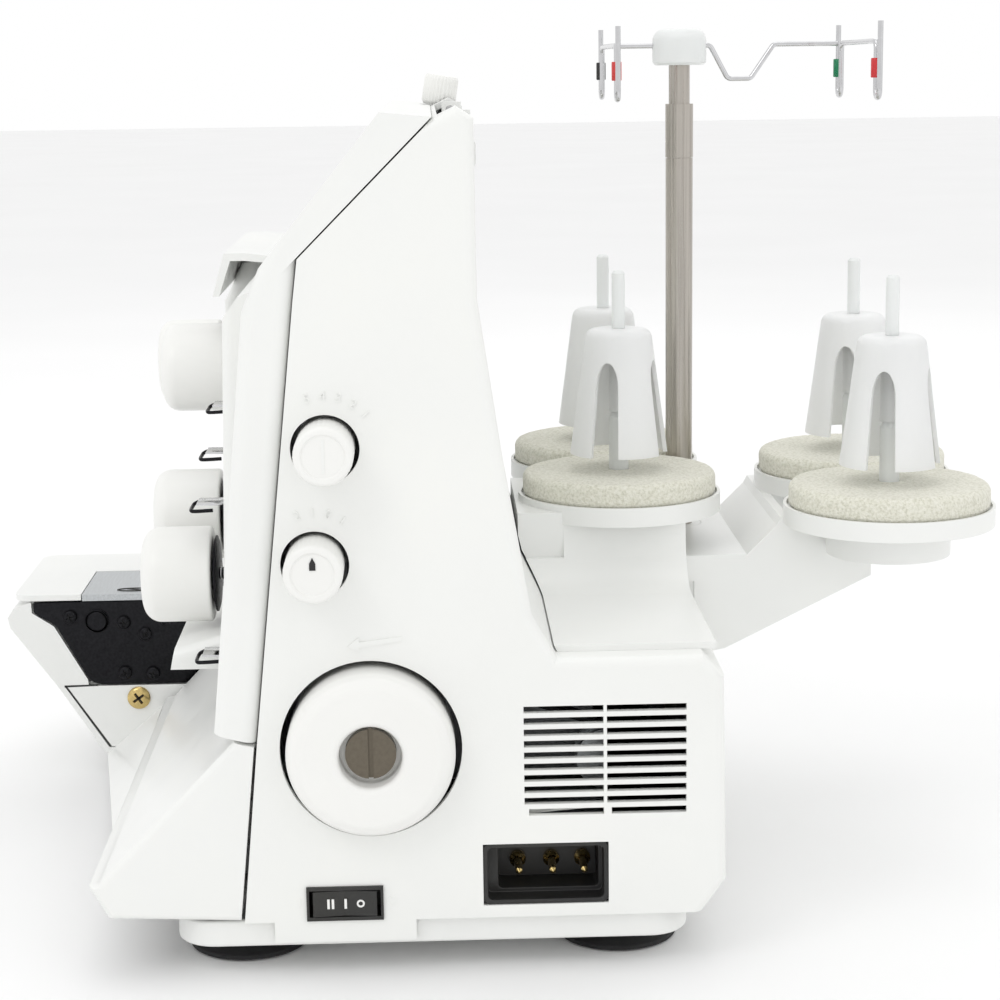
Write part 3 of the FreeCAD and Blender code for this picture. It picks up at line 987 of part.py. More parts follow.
# ---------------------------------------------------------------- telescopic thread stand
def make_pole():
    fit = "run_fit"
    tube = rod("pole_low_out", "Z", "pole_low_radius", "pole_low", "pole_low_top", x="pole_x", y="pole_y")
    bore = rod("pole_low_in", "Z", "pole_mid_radius + " + fit, "pole_low + 3",
               "pole_low_top + 1", x="pole_x", y="pole_y")
    keep(cut("pole_low_cut", tube, bore), "pole_lower")
    tube = rod("pole_mid_out", "Z", "pole_mid_radius", "pole_low_top - pole_travel",
               "pole_mid_top", x="pole_x", y="pole_y")
    bead = rod("pole_mid_bead", "Z", "pole_mid_radius + 0.7", "pole_low_top + 0.3",
               "pole_mid_top", x="pole_x", y="pole_y")
    bore = rod("pole_mid_in", "Z", "pole_high_radius + " + fit,
               "pole_low_top - pole_travel + 3", "pole_mid_top + 1", x="pole_x", y="pole_y")
    keep(cut("pole_mid_cut", fuse("pole_mid_all", tube, bead), bore), "pole_middle")
    keep(rod("pole_high_rod", "Z", "pole_high_radius", "pole_mid_top - pole_travel",
             "pole_high_top", x="pole_x", y="pole_y"), "pole_upper")
    keep(turned("hub_body", "Z",
                [("pole_high_top", 0), ("pole_high_top", "hub_radius - 1"),
                 ("pole_high_top + 1", "hub_radius"), ("hub_top - 2", "hub_radius"),
                 ("hub_top", "hub_radius - 2"), ("hub_top", 0)], x="pole_x", y="pole_y"),
         "guide_hub")
    keep(guide_wires(), "thread_guide_wires")
    keep(guide_sleeves(), "guide_sleeves")


def bent_wire(points, bend, radius):
    """A round wire along straight runs joined by tangent arcs, with flat ends."""
    edges = []
    start = points[0]
    for index in range(1, len(points) - 1):
        corner = points[index]
        back = (points[index - 1] - corner).normalize()
        ahead = (points[index + 1] - corner).normalize()
        half = back.getAngle(ahead) / 2
        reach = bend / math.tan(half)
        first = corner + back * reach
        last = corner + ahead * reach
        middle_way = (back + ahead).normalize()
        middle = corner + middle_way * (bend / math.sin(half) - bend)
        edges.append(Part.LineSegment(start, first).toShape())
        edges.append(Part.Arc(first, middle, last).toShape())
        start = last
    edges.append(Part.LineSegment(start, points[-1]).toShape())
    path = Part.Wire(edges)
    ring = Part.Wire(Part.Circle(points[0], points[1] - points[0], radius).toShape())
    return path.makePipeShell([ring], True, True)


def cross_wire(pins, row):
    """One wire that forms the open hairpins at both ends of a row and the bar between them."""
    top = number("wire_z")
    half = 3.4
    low, high = sorted(pins)
    return [V(low - half, row, top + 7), V(low - half, row, top - 20),
            V(low + half, row, top - 20), V(low + half, row, top),
            V(high - half, row, top), V(high - half, row, top - 20),
            V(high + half, row, top - 20), V(high + half, row, top + 7)]


def guide_wires():
    top = number("wire_z")
    middle = number("pole_x")
    pole = number("pole_y")
    edge = number("hub_radius")
    front = number("front_pin_y")
    rear = number("rear_pin_y") - 7
    radius = number("wire_radius")
    runs = [
        [V(middle, pole - edge, top), V(middle, front + radius, top)],
        [V(middle, pole + edge, top), V(middle, pole + 12, top),
         V(middle, pole + 19, top - 13), V(middle, pole + 28, top - 13),
         V(middle, pole + 37, top), V(middle, rear - radius, top)],
        cross_wire(FRONT_PINS, front),
        cross_wire(REAR_PINS, rear),
    ]
    bends = [3.2, 2.4, 3.0, 3.0]
    wires = doc.addObject("Part::Feature", "guide_wire_solid")
    wires.Shape = Part.makeCompound([bent_wire(points, bend, radius)
                                     for points, bend in zip(runs, bends)])
    return wires


def guide_sleeves():
    """Short coloured tubes that mark each thread's loop."""
    rear = number("rear_pin_y") - 7
    front = number("front_pin_y")
    top = number("wire_z")
    tubes = []
    for spot, row in ([(pin, front) for pin in FRONT_PINS] + [(pin, rear) for pin in REAR_PINS]):
        tube = Part.makeCylinder(1.9, 7, V(spot - 3.4, row, top - 13))
        core = Part.makeCylinder(number("wire_radius"), 9, V(spot - 3.4, row, top - 14))
        tubes.append(tube.cut(core))
    sleeves = doc.addObject("Part::Feature", "guide_sleeve_solid")
    sleeves.Shape = Part.makeCompound(tubes)
    return sleeves


# ---------------------------------------------------------------- build and write
def check_document():
    doc.recompute()
    for thing in doc.Objects:
        if "Invalid" in thing.State or "Error" in thing.State:
            raise RuntimeError("%s failed: %s" % (thing.Label, thing.State))
    for part in sub_parts:
        if part.Shape.isNull() or not part.Shape.isValid() or not part.Shape.Solids:
            raise RuntimeError("%s has no valid solid" % part.Label)


make_base()
make_chassis()
make_casing()
make_left_bed()
make_front_cover()
make_drive()
make_controls()
make_stitching()
make_details()
make_stand()
make_pole()
check_document()

os.makedirs("parts", exist_ok=True)
for part in sub_parts:
    part.Shape.exportStep("parts/%s.step" % part.Label)
    span = part.Shape.BoundBox
    print("%-24s solids %2d  x %7.1f %7.1f  y %7.1f %7.1f  z %6.1f %6.1f  vol %9.0f" % (
        part.Label, len(part.Shape.Solids), span.XMin, span.XMax, span.YMin, span.YMax,
        span.ZMin, span.ZMax, part.Shape.Volume))
print(len(sub_parts), "sub-parts")
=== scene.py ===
import bpy
import bmesh
import json
import math
from mathutils import Matrix, Vector, noise

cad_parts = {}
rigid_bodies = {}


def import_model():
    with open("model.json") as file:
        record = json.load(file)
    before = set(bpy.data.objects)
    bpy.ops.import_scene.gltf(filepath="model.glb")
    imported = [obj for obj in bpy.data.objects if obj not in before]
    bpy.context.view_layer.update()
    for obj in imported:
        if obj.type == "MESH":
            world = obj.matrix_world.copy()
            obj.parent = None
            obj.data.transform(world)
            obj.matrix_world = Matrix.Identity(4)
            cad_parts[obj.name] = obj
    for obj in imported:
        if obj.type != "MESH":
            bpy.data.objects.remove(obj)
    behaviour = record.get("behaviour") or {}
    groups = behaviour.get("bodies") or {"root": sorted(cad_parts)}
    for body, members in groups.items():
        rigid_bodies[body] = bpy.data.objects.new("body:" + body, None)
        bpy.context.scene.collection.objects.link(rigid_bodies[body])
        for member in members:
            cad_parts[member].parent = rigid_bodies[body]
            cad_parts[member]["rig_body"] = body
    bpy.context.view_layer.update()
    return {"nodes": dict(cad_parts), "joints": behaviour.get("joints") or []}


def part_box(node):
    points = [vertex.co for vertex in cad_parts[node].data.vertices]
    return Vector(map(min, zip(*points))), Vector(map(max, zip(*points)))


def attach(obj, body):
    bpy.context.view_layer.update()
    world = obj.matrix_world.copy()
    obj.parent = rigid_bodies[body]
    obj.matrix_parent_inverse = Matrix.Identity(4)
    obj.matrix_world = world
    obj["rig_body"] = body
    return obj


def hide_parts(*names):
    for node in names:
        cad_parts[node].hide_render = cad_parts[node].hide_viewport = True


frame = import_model()
nodes = frame["nodes"]
MM = 0.001
UP = Vector((0, 0, 1))


# ---------------------------------------------------------------- places read from the frame
def span(node):
    """Lowest corner, highest corner and middle of a CAD node, in metres."""
    low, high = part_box(node)
    return low, high, (low + high) / 2


SKIN_X = span("right_side_cover")[1].x
WHEEL = span("handwheel")[2]
LENGTH_KNOB = span("stitch_length_knob")[2]
FEED_KNOB = span("differential_feed_knob")[2]
DIALS = ["tension_dial_%d" % index for index in range(1, 5)]
CONES = ["cone_holder_%d" % index for index in range(1, 5)]


# ---------------------------------------------------------------- materials
GRAIN_DEPTH = 0.00008


def shader(name, roughness=0.4, metallic=0.0):
    """A material with its Principled shader and object coordinates."""
    made = bpy.data.materials.new(name)
    made.use_nodes = True
    tree = made.node_tree
    surface = tree.nodes["Principled BSDF"]
    surface.inputs["Roughness"].default_value = roughness
    surface.inputs["Metallic"].default_value = metallic
    where = tree.nodes.new("ShaderNodeTexCoord")
    return made, tree, surface, where.outputs["Object"]


def add_noise(tree, where, scale, detail=3.0, stretch=(1, 1, 1)):
    """A noise value; stretch scales the pattern along each axis."""
    mapping = tree.nodes.new("ShaderNodeMapping")
    mapping.inputs["Scale"].default_value = stretch
    tree.links.new(where, mapping.inputs["Vector"])
    texture = tree.nodes.new("ShaderNodeTexNoise")
    texture.inputs["Scale"].default_value = scale
    texture.inputs["Detail"].default_value = detail
    tree.links.new(mapping.outputs["Vector"], texture.inputs["Vector"])
    return texture.outputs["Fac"]


def add_ramp(tree, amount, *stops):
    """Colours by amount: stops are (position, (r, g, b))."""
    ramp = tree.nodes.new("ShaderNodeValToRGB")
    while len(ramp.color_ramp.elements) < len(stops):
        ramp.color_ramp.elements.new(0.5)
    for element, (position, colour) in zip(ramp.color_ramp.elements, stops):
        element.position = position
        element.color = (*colour, 1)
    tree.links.new(amount, ramp.inputs["Fac"])
    return ramp.outputs["Color"]


def add_range(tree, amount, low, high):
    """Spreads the middle of a noise value over low to high."""
    spread = tree.nodes.new("ShaderNodeMapRange")
    spread.inputs["From Min"].default_value = 0.3
    spread.inputs["From Max"].default_value = 0.7
    spread.inputs["To Min"].default_value = low
    spread.inputs["To Max"].default_value = high
    tree.links.new(amount, spread.inputs["Value"])
    return spread.outputs["Result"]


def add_bump(tree, surface, height, strength, depth):
    bump = tree.nodes.new("ShaderNodeBump")
    bump.inputs["Strength"].default_value = strength
    bump.inputs["Distance"].default_value = depth
    tree.links.new(height, bump.inputs["Height"])
    tree.links.new(bump.outputs["Normal"], surface.inputs["Normal"])


def plastic(name, colour, rough=(0.30, 0.42), tint=0.012, grain=1500, grain_strength=0.10,
            specular=0.5):
    """Moulded plastic: faint mottling, a spark-eroded grain and uneven gloss."""
    made, tree, surface, where = shader(name)
    dark = tuple(max(value - tint, 0) for value in colour)
    warm = tuple(min(value + tint * share, 1) for value, share in zip(colour, (1.0, 0.9, 0.4)))
    mottle = add_noise(tree, where, 16, 4)
    tree.links.new(add_ramp(tree, mottle, (0.35, dark), (0.5, colour), (0.68, warm)),
                   surface.inputs["Base Color"])
    gloss = add_noise(tree, where, 70, 3)
    tree.links.new(add_range(tree, gloss, *rough), surface.inputs["Roughness"])
    fine = add_noise(tree, where, grain, 2)
    add_bump(tree, surface, fine, grain_strength, GRAIN_DEPTH)
    surface.inputs["Specular IOR Level"].default_value = specular
    return made


def milky(name, colour, through, rough=(0.32, 0.48)):
    """Natural polypropylene: cloudy, half clear, with flow streaks from the mould."""
    made, tree, surface, where = shader(name)
    streaks = add_noise(tree, where, 45, 4, (1, 1, 0.25))
    shade = tuple(value * 0.93 for value in colour)
    tree.links.new(add_ramp(tree, streaks, (0.35, shade), (0.65, colour)),
                   surface.inputs["Base Color"])
    tree.links.new(add_range(tree, streaks, *rough), surface.inputs["Roughness"])
    surface.inputs["Transmission Weight"].default_value = through
    surface.inputs["IOR"].default_value = 1.49
    surface.inputs["Subsurface Weight"].default_value = 0.3
    surface.inputs["Subsurface Radius"].default_value = (0.008, 0.008, 0.008)
    surface.inputs["Subsurface Scale"].default_value = 0.4
    add_bump(tree, surface, add_noise(tree, where, 900, 2), 0.08, 0.0002)
    return made


def metal(name, colour, rough, streak=(1, 1, 1), scale=600, strength=0.12, spread=0.12):
    """Metal with fine machining lines; streak stretches them along an axis."""
    made, tree, surface, where = shader(name, metallic=1.0)
    lines = add_noise(tree, where, scale, 4, streak)
    dark = tuple(value * (1 - spread) for value in colour)
    bright = tuple(min(value * (1 + spread), 1) for value in colour)
    tree.links.new(add_ramp(tree, lines, (0.3, dark), (0.7, bright)),
                   surface.inputs["Base Color"])
    tree.links.new(add_range(tree, lines, *rough), surface.inputs["Roughness"])
    add_bump(tree, surface, lines, strength, 0.0001)
    return made


def open_cell_foam(name):
    """Pale foam: pores of uneven size, pressed in."""
    made, tree, surface, where = shader(name, roughness=0.95)
    pores = tree.nodes.new("ShaderNodeTexVoronoi")
    pores.inputs["Scale"].default_value = 1300
    tree.links.new(where, pores.inputs["Vector"])
    cells = add_noise(tree, where, 900, 5)
    both = tree.nodes.new("ShaderNodeMath")
    both.operation = "MULTIPLY"
    tree.links.new(pores.outputs["Distance"], both.inputs[0])
    tree.links.new(cells, both.inputs[1])
    # The foam's own uneven tone, with darker pore-sized spots where the bump presses in: painted shade
    # inside the pores.
    colour = add_ramp(tree, cells, (0.34, (0.62, 0.61, 0.51)), (0.48, (0.74, 0.73, 0.63)),
                      (0.64, (0.82, 0.81, 0.72)))
    tree.links.new(colour, surface.inputs["Base Color"])
    surface.inputs["Sheen Weight"].default_value = 0.25
    surface.inputs["Specular IOR Level"].default_value = 0.15
    add_bump(tree, surface, both.outputs["Value"], 0.7, 0.0007)
    return made


WHITE = plastic("white_gloss_shell", (0.86, 0.867, 0.848), (0.28, 0.36))
SATIN = plastic("white_satin_panel", (0.865, 0.872, 0.85), (0.38, 0.46), grain=1100,
                grain_strength=0.22)
KNOB = plastic("white_knob_plastic", (0.875, 0.875, 0.85), (0.28, 0.38))
MARK = plastic("white_print", (0.86, 0.86, 0.84), (0.5, 0.6), grain=900)
BLACK = plastic("black_plastic", (0.018, 0.018, 0.018), (0.34, 0.55), tint=0.006, grain=1700,
                grain_strength=0.3)
# Near-black for print and a sleeve, and also painted shade: the slabs in the screw recesses, the seam
# strips and the needle plate's slot.
DARK = plastic("dark_colour_and_painted_shade", (0.03, 0.03, 0.03), (0.6, 0.8), tint=0.01)
RUBBER = plastic("foot_rubber", (0.022, 0.022, 0.023), (0.55, 0.75), tint=0.008, grain=700,
                 grain_strength=0.4, specular=0.3)
BELT = plastic("belt_rubber", (0.03, 0.03, 0.03), (0.6, 0.8), tint=0.01, grain=500,
               grain_strength=0.6, specular=0.25)
BLACK_STEEL = metal("black_oxide_steel", (0.020, 0.020, 0.022), (0.28, 0.48), scale=900,
                    strength=0.2, spread=0.25)
CHROME = metal("chrome_wire", (0.62, 0.62, 0.63), (0.06, 0.16), (1, 1, 1), 300, 0.04, 0.05)
PLATE_STEEL = metal("ground_steel", (0.50, 0.52, 0.53), (0.28, 0.42), (0.1, 1, 1), 1200, 0.15)
POLE_STEEL = metal("brushed_pole_steel", (0.46, 0.43, 0.39), (0.22, 0.36), (1, 1, 0.012), 900,
                   0.25, 0.16)
DARK_SCREW = metal("dark_bronze_screw", (0.16, 0.14, 0.11), (0.3, 0.5), scale=700)
BRASS = metal("brass", (0.62, 0.47, 0.20), (0.16, 0.3), scale=500)
CAST = metal("cast_aluminium", (0.36, 0.37, 0.38), (0.5, 0.65), scale=420, strength=0.5)
MOTOR = metal("motor_can", (0.16, 0.17, 0.18), (0.42, 0.55), (0.1, 1, 1), 500)
MILKY = milky("translucent_plastic", (0.97, 0.98, 0.975), 0.16)
CLOUDY = milky("cloudy_white_plastic", (0.90, 0.92, 0.91), 0.12)
FOAM = open_cell_foam("open_cell_foam")
RED = plastic("red_sleeve", (0.62, 0.035, 0.04), (0.2, 0.3), tint=0.03)
GREEN = plastic("green_sleeve", (0.02, 0.22, 0.10), (0.2, 0.3), tint=0.02)


# ---------------------------------------------------------------- making pieces
def link(name, data, body, material):
    """A new object, in the frame's metres, that rides on a body."""
    piece = bpy.data.objects.new(name, data)
    bpy.context.scene.collection.objects.link(piece)
    piece.data.materials.append(material)
    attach(piece, body)
    return piece


def from_bmesh(name, shape, body, material, smooth=True, sharp=35):
    """A piece made of a bmesh; edges over the sharp angle, in degrees, stay crisp."""
    mesh = bpy.data.meshes.new(name)
    bmesh.ops.recalc_face_normals(shape, faces=shape.faces)
    for face in shape.faces:
        face.smooth = smooth
    shape.to_mesh(mesh)
    shape.free()
    mesh.set_sharp_from_angle(angle=math.radians(sharp))
    return link(name, mesh, body, material)


def stands_for(piece, node):
    """Hides a CAD node; the piece that shows instead is not used here."""
    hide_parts(node)


FACING_RIGHT = Matrix(((0, 0, 1, 0), (1, 0, 0, 0), (0, 1, 0, 0), (0, 0, 0, 1)))
FACING_FRONT = Matrix(((1, 0, 0, 0), (0, 0, -1, 0), (0, 1, 0, 0), (0, 0, 0, 1)))
AXES = {"Z": Matrix.Identity(4), "X": FACING_RIGHT, "-Y": FACING_FRONT}
ON_AXIS = 1e-7


def spun(profile, centre, axis="Z", steps=64, wave=None):
    """A bmesh turned from (radius, along) pairs in metres; wave(angle, radius) may ripple it."""
    shape = bmesh.new()
    rings = []
    for radius, along in profile:
        if radius <= ON_AXIS:
            rings.append([shape.verts.new((0, 0, along))])
            continue
        ring = []
        for step in range(steps):
            angle = 2 * math.pi * step / steps
            reach = wave(angle, radius) if wave else radius
            ring.append(shape.verts.new((reach * math.cos(angle), reach * math.sin(angle), along)))
        rings.append(ring)
    for first, last in zip(rings, rings[1:]):
        for step in range(steps):
            corners = [first[step % len(first)], first[(step + 1) % len(first)],
                       last[(step + 1) % len(last)], last[step % len(last)]]
            unique = list(dict.fromkeys(corners))
            if len(unique) > 2:
                shape.faces.new(unique)
    for ring in (rings[0], rings[-1]):
        if len(ring) > 1:
            shape.faces.new(ring)
    bmesh.ops.transform(shape, matrix=Matrix.Translation(centre) @ AXES[axis], verts=shape.verts)
    return shape


def arc_profile(centre_r, centre_z, radius, start, end, count=6):
    """Points of a round corner in a turned profile; angles in degrees."""
    points = []
    for step in range(count + 1):
        angle = math.radians(start + (end - start) * step / count)
        points.append((centre_r + radius * math.cos(angle), centre_z + radius * math.sin(angle)))
    return points


LARGE_FACE = 8e-5


def softened(node, width, material, limit=32):
    """A node's own shape with its edges rounded; edges between large faces stay crisp."""
    source = nodes[node].data
    mesh = bpy.data.meshes.new(node + "_soft")
    mesh.from_pydata([vert.co for vert in source.vertices], [],
                     [tuple(face.vertices) for face in source.polygons])
    shape = bmesh.new()
    shape.from_mesh(mesh)
    bmesh.ops.remove_doubles(shape, verts=shape.verts, dist=2e-6)
    bmesh.ops.dissolve_degenerate(shape, edges=shape.edges, dist=1e-6)
    bmesh.ops.dissolve_limit(shape, angle_limit=math.radians(0.6), verts=shape.verts,
                             edges=shape.edges)
    for face in shape.faces:
        face.smooth = True
    for edge in shape.edges:
        if len(edge.link_faces) == 2 and min(face.calc_area() for face in edge.link_faces) > LARGE_FACE:
            edge.smooth = edge.calc_face_angle() < math.radians(2)
    shape.to_mesh(mesh)
    shape.free()
    piece = link(node + "_skin", mesh, nodes[node]["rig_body"], material)
    bevel = piece.modifiers.new("edges", "BEVEL")
    bevel.width = width
    bevel.segments = 3
    bevel.limit_method = "ANGLE"
    bevel.angle_limit = math.radians(limit)
    bevel.use_clamp_overlap = True
    bevel.miter_outer = "MITER_ARC"
    normals = piece.modifiers.new("normals", "WEIGHTED_NORMAL")
    normals.keep_sharp = True
    stands_for(piece, node)


def finish_node(node, material):
    """Gives a CAD node, left as it is, its material."""
    for entry in nodes[node].material_slots:
        entry.material = material


def wire(name, points, radius, body, material, order=3, cyclic=False):
    """A bent wire through control points, in metres."""
    curve = bpy.data.curves.new(name, "CURVE")
    curve.dimensions = "3D"
    curve.bevel_depth = radius
    curve.bevel_resolution = 5
    curve.use_fill_caps = True
    spline = curve.splines.new("NURBS")
    spline.points.add(len(points) - 1)
    for point, place in zip(spline.points, points):
        point.co = (*place, 1)
    spline.order_u = order
    spline.use_endpoint_u = True
    spline.use_cyclic_u = cyclic
    spline.resolution_u = 10
    return link(name, curve, body, material)


def numeral(name, text, place, size, body, material, facing=FACING_RIGHT, turn=0.0, raise_by=0.2):
    """A raised numeral on a face; turn is in radians and raise_by in mm."""
    curve = bpy.data.curves.new(name, "FONT")
    curve.body = text
    curve.size = size
    curve.extrude = raise_by * MM
    curve.align_x = "CENTER"
    curve.align_y = "CENTER"
    curve.resolution_u = 3
    holder = bpy.data.objects.new(name + "_font", curve)
    bpy.context.scene.collection.objects.link(holder)
    mesh = bpy.data.meshes.new_from_object(holder)
    bpy.data.objects.remove(holder)
    mesh.transform(Matrix.Translation(place) @ facing @ Matrix.Rotation(turn, 4, "Z"))
    return link(name, mesh, body, material)


def slab(name, outline, depth, matrix, body, material, round_by=0.0, segments=3):
    """A flat piece from an outline in its own plane, given thickness and soft edges."""
    shape = bmesh.new()
    face = shape.faces.new([shape.verts.new((u, v, 0)) for u, v in outline])
    grown = bmesh.ops.extrude_face_region(shape, geom=[face])
    lifted = [item for item in grown["geom"] if isinstance(item, bmesh.types.BMVert)]
    bmesh.ops.translate(shape, verts=lifted, vec=(0, 0, depth))
    if round_by > 0:
        bmesh.ops.bevel(shape, geom=list(shape.edges), offset=round_by, segments=segments,
                        profile=0.5, affect="EDGES")
    bmesh.ops.transform(shape, matrix=matrix, verts=shape.verts)
    return from_bmesh(name, shape, body, material)


def flat_right(name, outline, thick, place, body, material, round_by=0.0, segments=3):
    """A flat piece that faces right; its outline, thickness and rounding are in mm."""
    return slab(name, [(u * MM, v * MM) for u, v in outline], thick * MM,
                Matrix.Translation(place) @ FACING_RIGHT, body, material, round_by * MM, segments)


def carved(shape, cutter):
    """One mesh with another cut out of it."""
    made = []
    for label, source in (("base", shape), ("tool", cutter)):
        mesh = bpy.data.meshes.new(label)
        bmesh.ops.recalc_face_normals(source, faces=source.faces)
        source.to_mesh(mesh)
        source.free()
        thing = bpy.data.objects.new(label, mesh)
        bpy.context.scene.collection.objects.link(thing)
        made.append(thing)
    step = made[0].modifiers.new("cut", "BOOLEAN")
    step.operation = "DIFFERENCE"
    step.solver = "EXACT"
    step.object = made[1]
    bpy.context.view_layer.update()
    result = bmesh.new()
    result.from_mesh(made[0].evaluated_get(bpy.context.evaluated_depsgraph_get()).to_mesh())
    for thing in made:
        bpy.data.objects.remove(thing)
    return result


def block(low, high):
    """A bmesh box between two corners."""
    shape = bmesh.new()
    bmesh.ops.create_cube(shape, size=1)
    size = Vector(high) - Vector(low)
    bmesh.ops.transform(shape, matrix=Matrix.Translation((Vector(low) + Vector(high)) / 2)
                        @ Matrix.Diagonal((*size, 1)), verts=shape.verts)
    return shape


def rounded_block(low, high, radius):
    """A block whose four edges along X are rounded."""
    shape = block(low, high)
    along = [edge for edge in shape.edges
             if abs(edge.verts[0].co.x - edge.verts[1].co.x) > 1e-5]
    bmesh.ops.bevel(shape, geom=along, offset=radius, segments=5, profile=0.5, affect="EDGES")
    return shape


# ---------------------------------------------------------------- casing
def make_casing():
    for node, width, material in (
            ("right_side_cover", 0.5, SATIN), ("rear_cover", 0.9, WHITE),
            ("front_cover", 1.2, WHITE), ("dial_panel", 1.4, WHITE),
            ("looper_cover", 1.2, WHITE), ("base_tray", 1.2, WHITE), ("bed_cover", 1.0, WHITE),
            ("looper_housing", 1.0, WHITE), ("cloth_plate", 0.7, WHITE),
            ("carrying_handle", 1.0, WHITE), ("thread_guide_plate", 0.8, WHITE),
            ("spool_stand_base", 0.7, WHITE), ("spool_stand_arm", 0.7, WHITE)):
        softened(node, width * MM, material)


# ---------------------------------------------------------------- nodes that keep their CAD shape
def make_plain_nodes():
    for node, material in (
            ("chassis_frame", CAST), ("bearings_and_pins", CHROME), ("needle_plate", PLATE_STEEL),
            ("cover_hinge_rod", CHROME), ("handwheel_screw", DARK_SCREW),
            ("main_shaft", PLATE_STEEL), ("drive_pulley", PLATE_STEEL), ("motor", MOTOR),
            ("motor_pulley", PLATE_STEEL), ("drive_belt", BELT), ("switch_rocker", BLACK),
            ("switch_housing", BLACK), ("inlet_pins", BRASS),
            ("needle_bar", CHROME), ("needle_clamp", CHROME), ("presser_bar", CHROME),
            ("presser_foot", CHROME), ("presser_lifter", PLATE_STEEL), ("feed_dogs", PLATE_STEEL),
            ("upper_looper", CHROME), ("lower_looper", CHROME), ("upper_knife", PLATE_STEEL),
            ("spool_pins", CLOUDY),
            ("pole_lower", POLE_STEEL), ("pole_middle", POLE_STEEL), ("pole_upper", POLE_STEEL),
            ("thread_guide_wires", CHROME)):
        finish_node(node, material)


# ---------------------------------------------------------------- knobs and handwheel
KNOB_DISH = 0.6 * MM
KNOB_GROOVES = 36
KNOB_GROOVE_DEEP = 0.14 * MM
MARK_REACH = 17.5 * MM
POINTER_SUNK = 0.65 * MM
ARROW_ABOVE_WHEEL = 36 * MM
# Outlines of the marks: (Y, Z) in mm from the middle of each.
FEED_POINTER = [(-1.0, 1.5), (1.0, 1.5), (1.0, 3.7), (0, 5.7), (-1.0, 3.7)]
LENGTH_POINTER = [(-0.45, -5.6), (0.45, -5.6), (0.45, 5.6), (-0.45, 5.6)]
WHEEL_ARROW = [(-9, -0.6), (-5, 2.6), (-5, 1.0), (9, 2.6), (9, 1.2), (-5, -0.9), (-5, -2.2)]


def rippled(outer, band, deep, count):
    """A ripple for spun(): grooves on the part of a profile that lies within band of outer."""
    def wave(angle, reach):
        if reach <= outer - band:
            return reach
        return reach - deep * (0.5 - 0.5 * math.cos(count * angle))
    return wave


def make_side_knob(node):
    """A turned knob with fine grooves, a rounded rim and a slightly sunk face."""
    low, high, middle = span(node)
    radius = (high.z - low.z) / 2
    profile = [(0, low.x), (radius - 1 * MM, low.x), (radius, low.x + 1 * MM)]
    profile += arc_profile(radius - 1.6 * MM, high.x - 1.6 * MM, 1.6 * MM, 0, 90, 6)
    profile += [(radius - 2.4 * MM, high.x), (radius - 3.0 * MM, high.x - KNOB_DISH),
                (0, high.x - KNOB_DISH)]
    shape = spun(profile, Vector((0, middle.y, middle.z)), "X", 96,
                 rippled(radius, 0.3 * MM, KNOB_GROOVE_DEEP, KNOB_GROOVES))
    stands_for(from_bmesh(node + "_cap", shape, node, KNOB), node)


def make_knob_numbers(label, knob, digits):
    """Small raised numerals in an arc over a knob."""
    for index, digit in enumerate(digits):
        lean = math.radians(-18 + 17 * index)
        place = Vector((SKIN_X, knob.y + MARK_REACH * math.sin(lean),
                        knob.z + MARK_REACH * math.cos(lean)))
        numeral("%s_mark_%d" % (label, index), digit, place, 4.4 * MM, "machine", SATIN,
                turn=-lean, raise_by=0.5)


def make_knobs():
    softened("handwheel", 1.4 * MM, KNOB, limit=25)
    for node in ("stitch_length_knob", "differential_feed_knob"):
        make_side_knob(node)
    make_knob_numbers("length", LENGTH_KNOB, "54321")
    make_knob_numbers("feed", FEED_KNOB, "2101")
    face_x = span("differential_feed_knob")[1].x - POINTER_SUNK
    flat_right("feed_knob_pointer", FEED_POINTER, 0.3, (face_x, FEED_KNOB.y, FEED_KNOB.z),
               "differential_feed_knob", DARK)
    face_x = span("stitch_length_knob")[1].x - POINTER_SUNK
    flat_right("length_knob_pointer", LENGTH_POINTER, 0.25,
               (face_x, LENGTH_KNOB.y, LENGTH_KNOB.z), "stitch_length_knob", SATIN)
    flat_right("wheel_arrow", WHEEL_ARROW, 0.5,
               (SKIN_X, WHEEL.y + 2 * MM, WHEEL.z + ARROW_ABOVE_WHEEL), "machine", SATIN)


DIAL_NUMBERS_IN = 10.5 * MM


def make_dial(index, node):
    """A domed tension dial with its ring of numerals."""
    low, high, middle = span(node)
    radius = (high.x - low.x) / 2
    long = high.y - low.y
    profile = [(3 * MM, 0), (radius - 1.2 * MM, 0)]
    profile += arc_profile(radius - 1.2 * MM, 1.2 * MM, 1.2 * MM, -90, 0, 4)[1:]
    profile += [(radius, long - 7 * MM)]
    profile += arc_profile(radius - 6.5 * MM, long - 6.5 * MM, 6.5 * MM, 0, 78, 9)[1:]
    profile += [(radius - 9 * MM, long - 0.1 * MM), (0, long)]
    shape = spun(profile, Vector((middle.x, high.y, middle.z)), "-Y", 96)
    stands_for(from_bmesh("dial_%d_cap" % index, shape, node, KNOB), node)
    for number in range(10):
        angle = math.radians(-150 + 30 * number)
        place = Vector((middle.x + (radius - DIAL_NUMBERS_IN) * math.sin(angle), low.y + 0.1 * MM,
                        middle.z + (radius - DIAL_NUMBERS_IN) * math.cos(angle)))
        numeral("dial_%d_number_%d" % (index, number), str(number), place, 3.4 * MM, node, DARK,
                FACING_FRONT, -angle, 0.12)


def make_dials():
    for index, node in enumerate(DIALS, 1):
        make_dial(index, node)


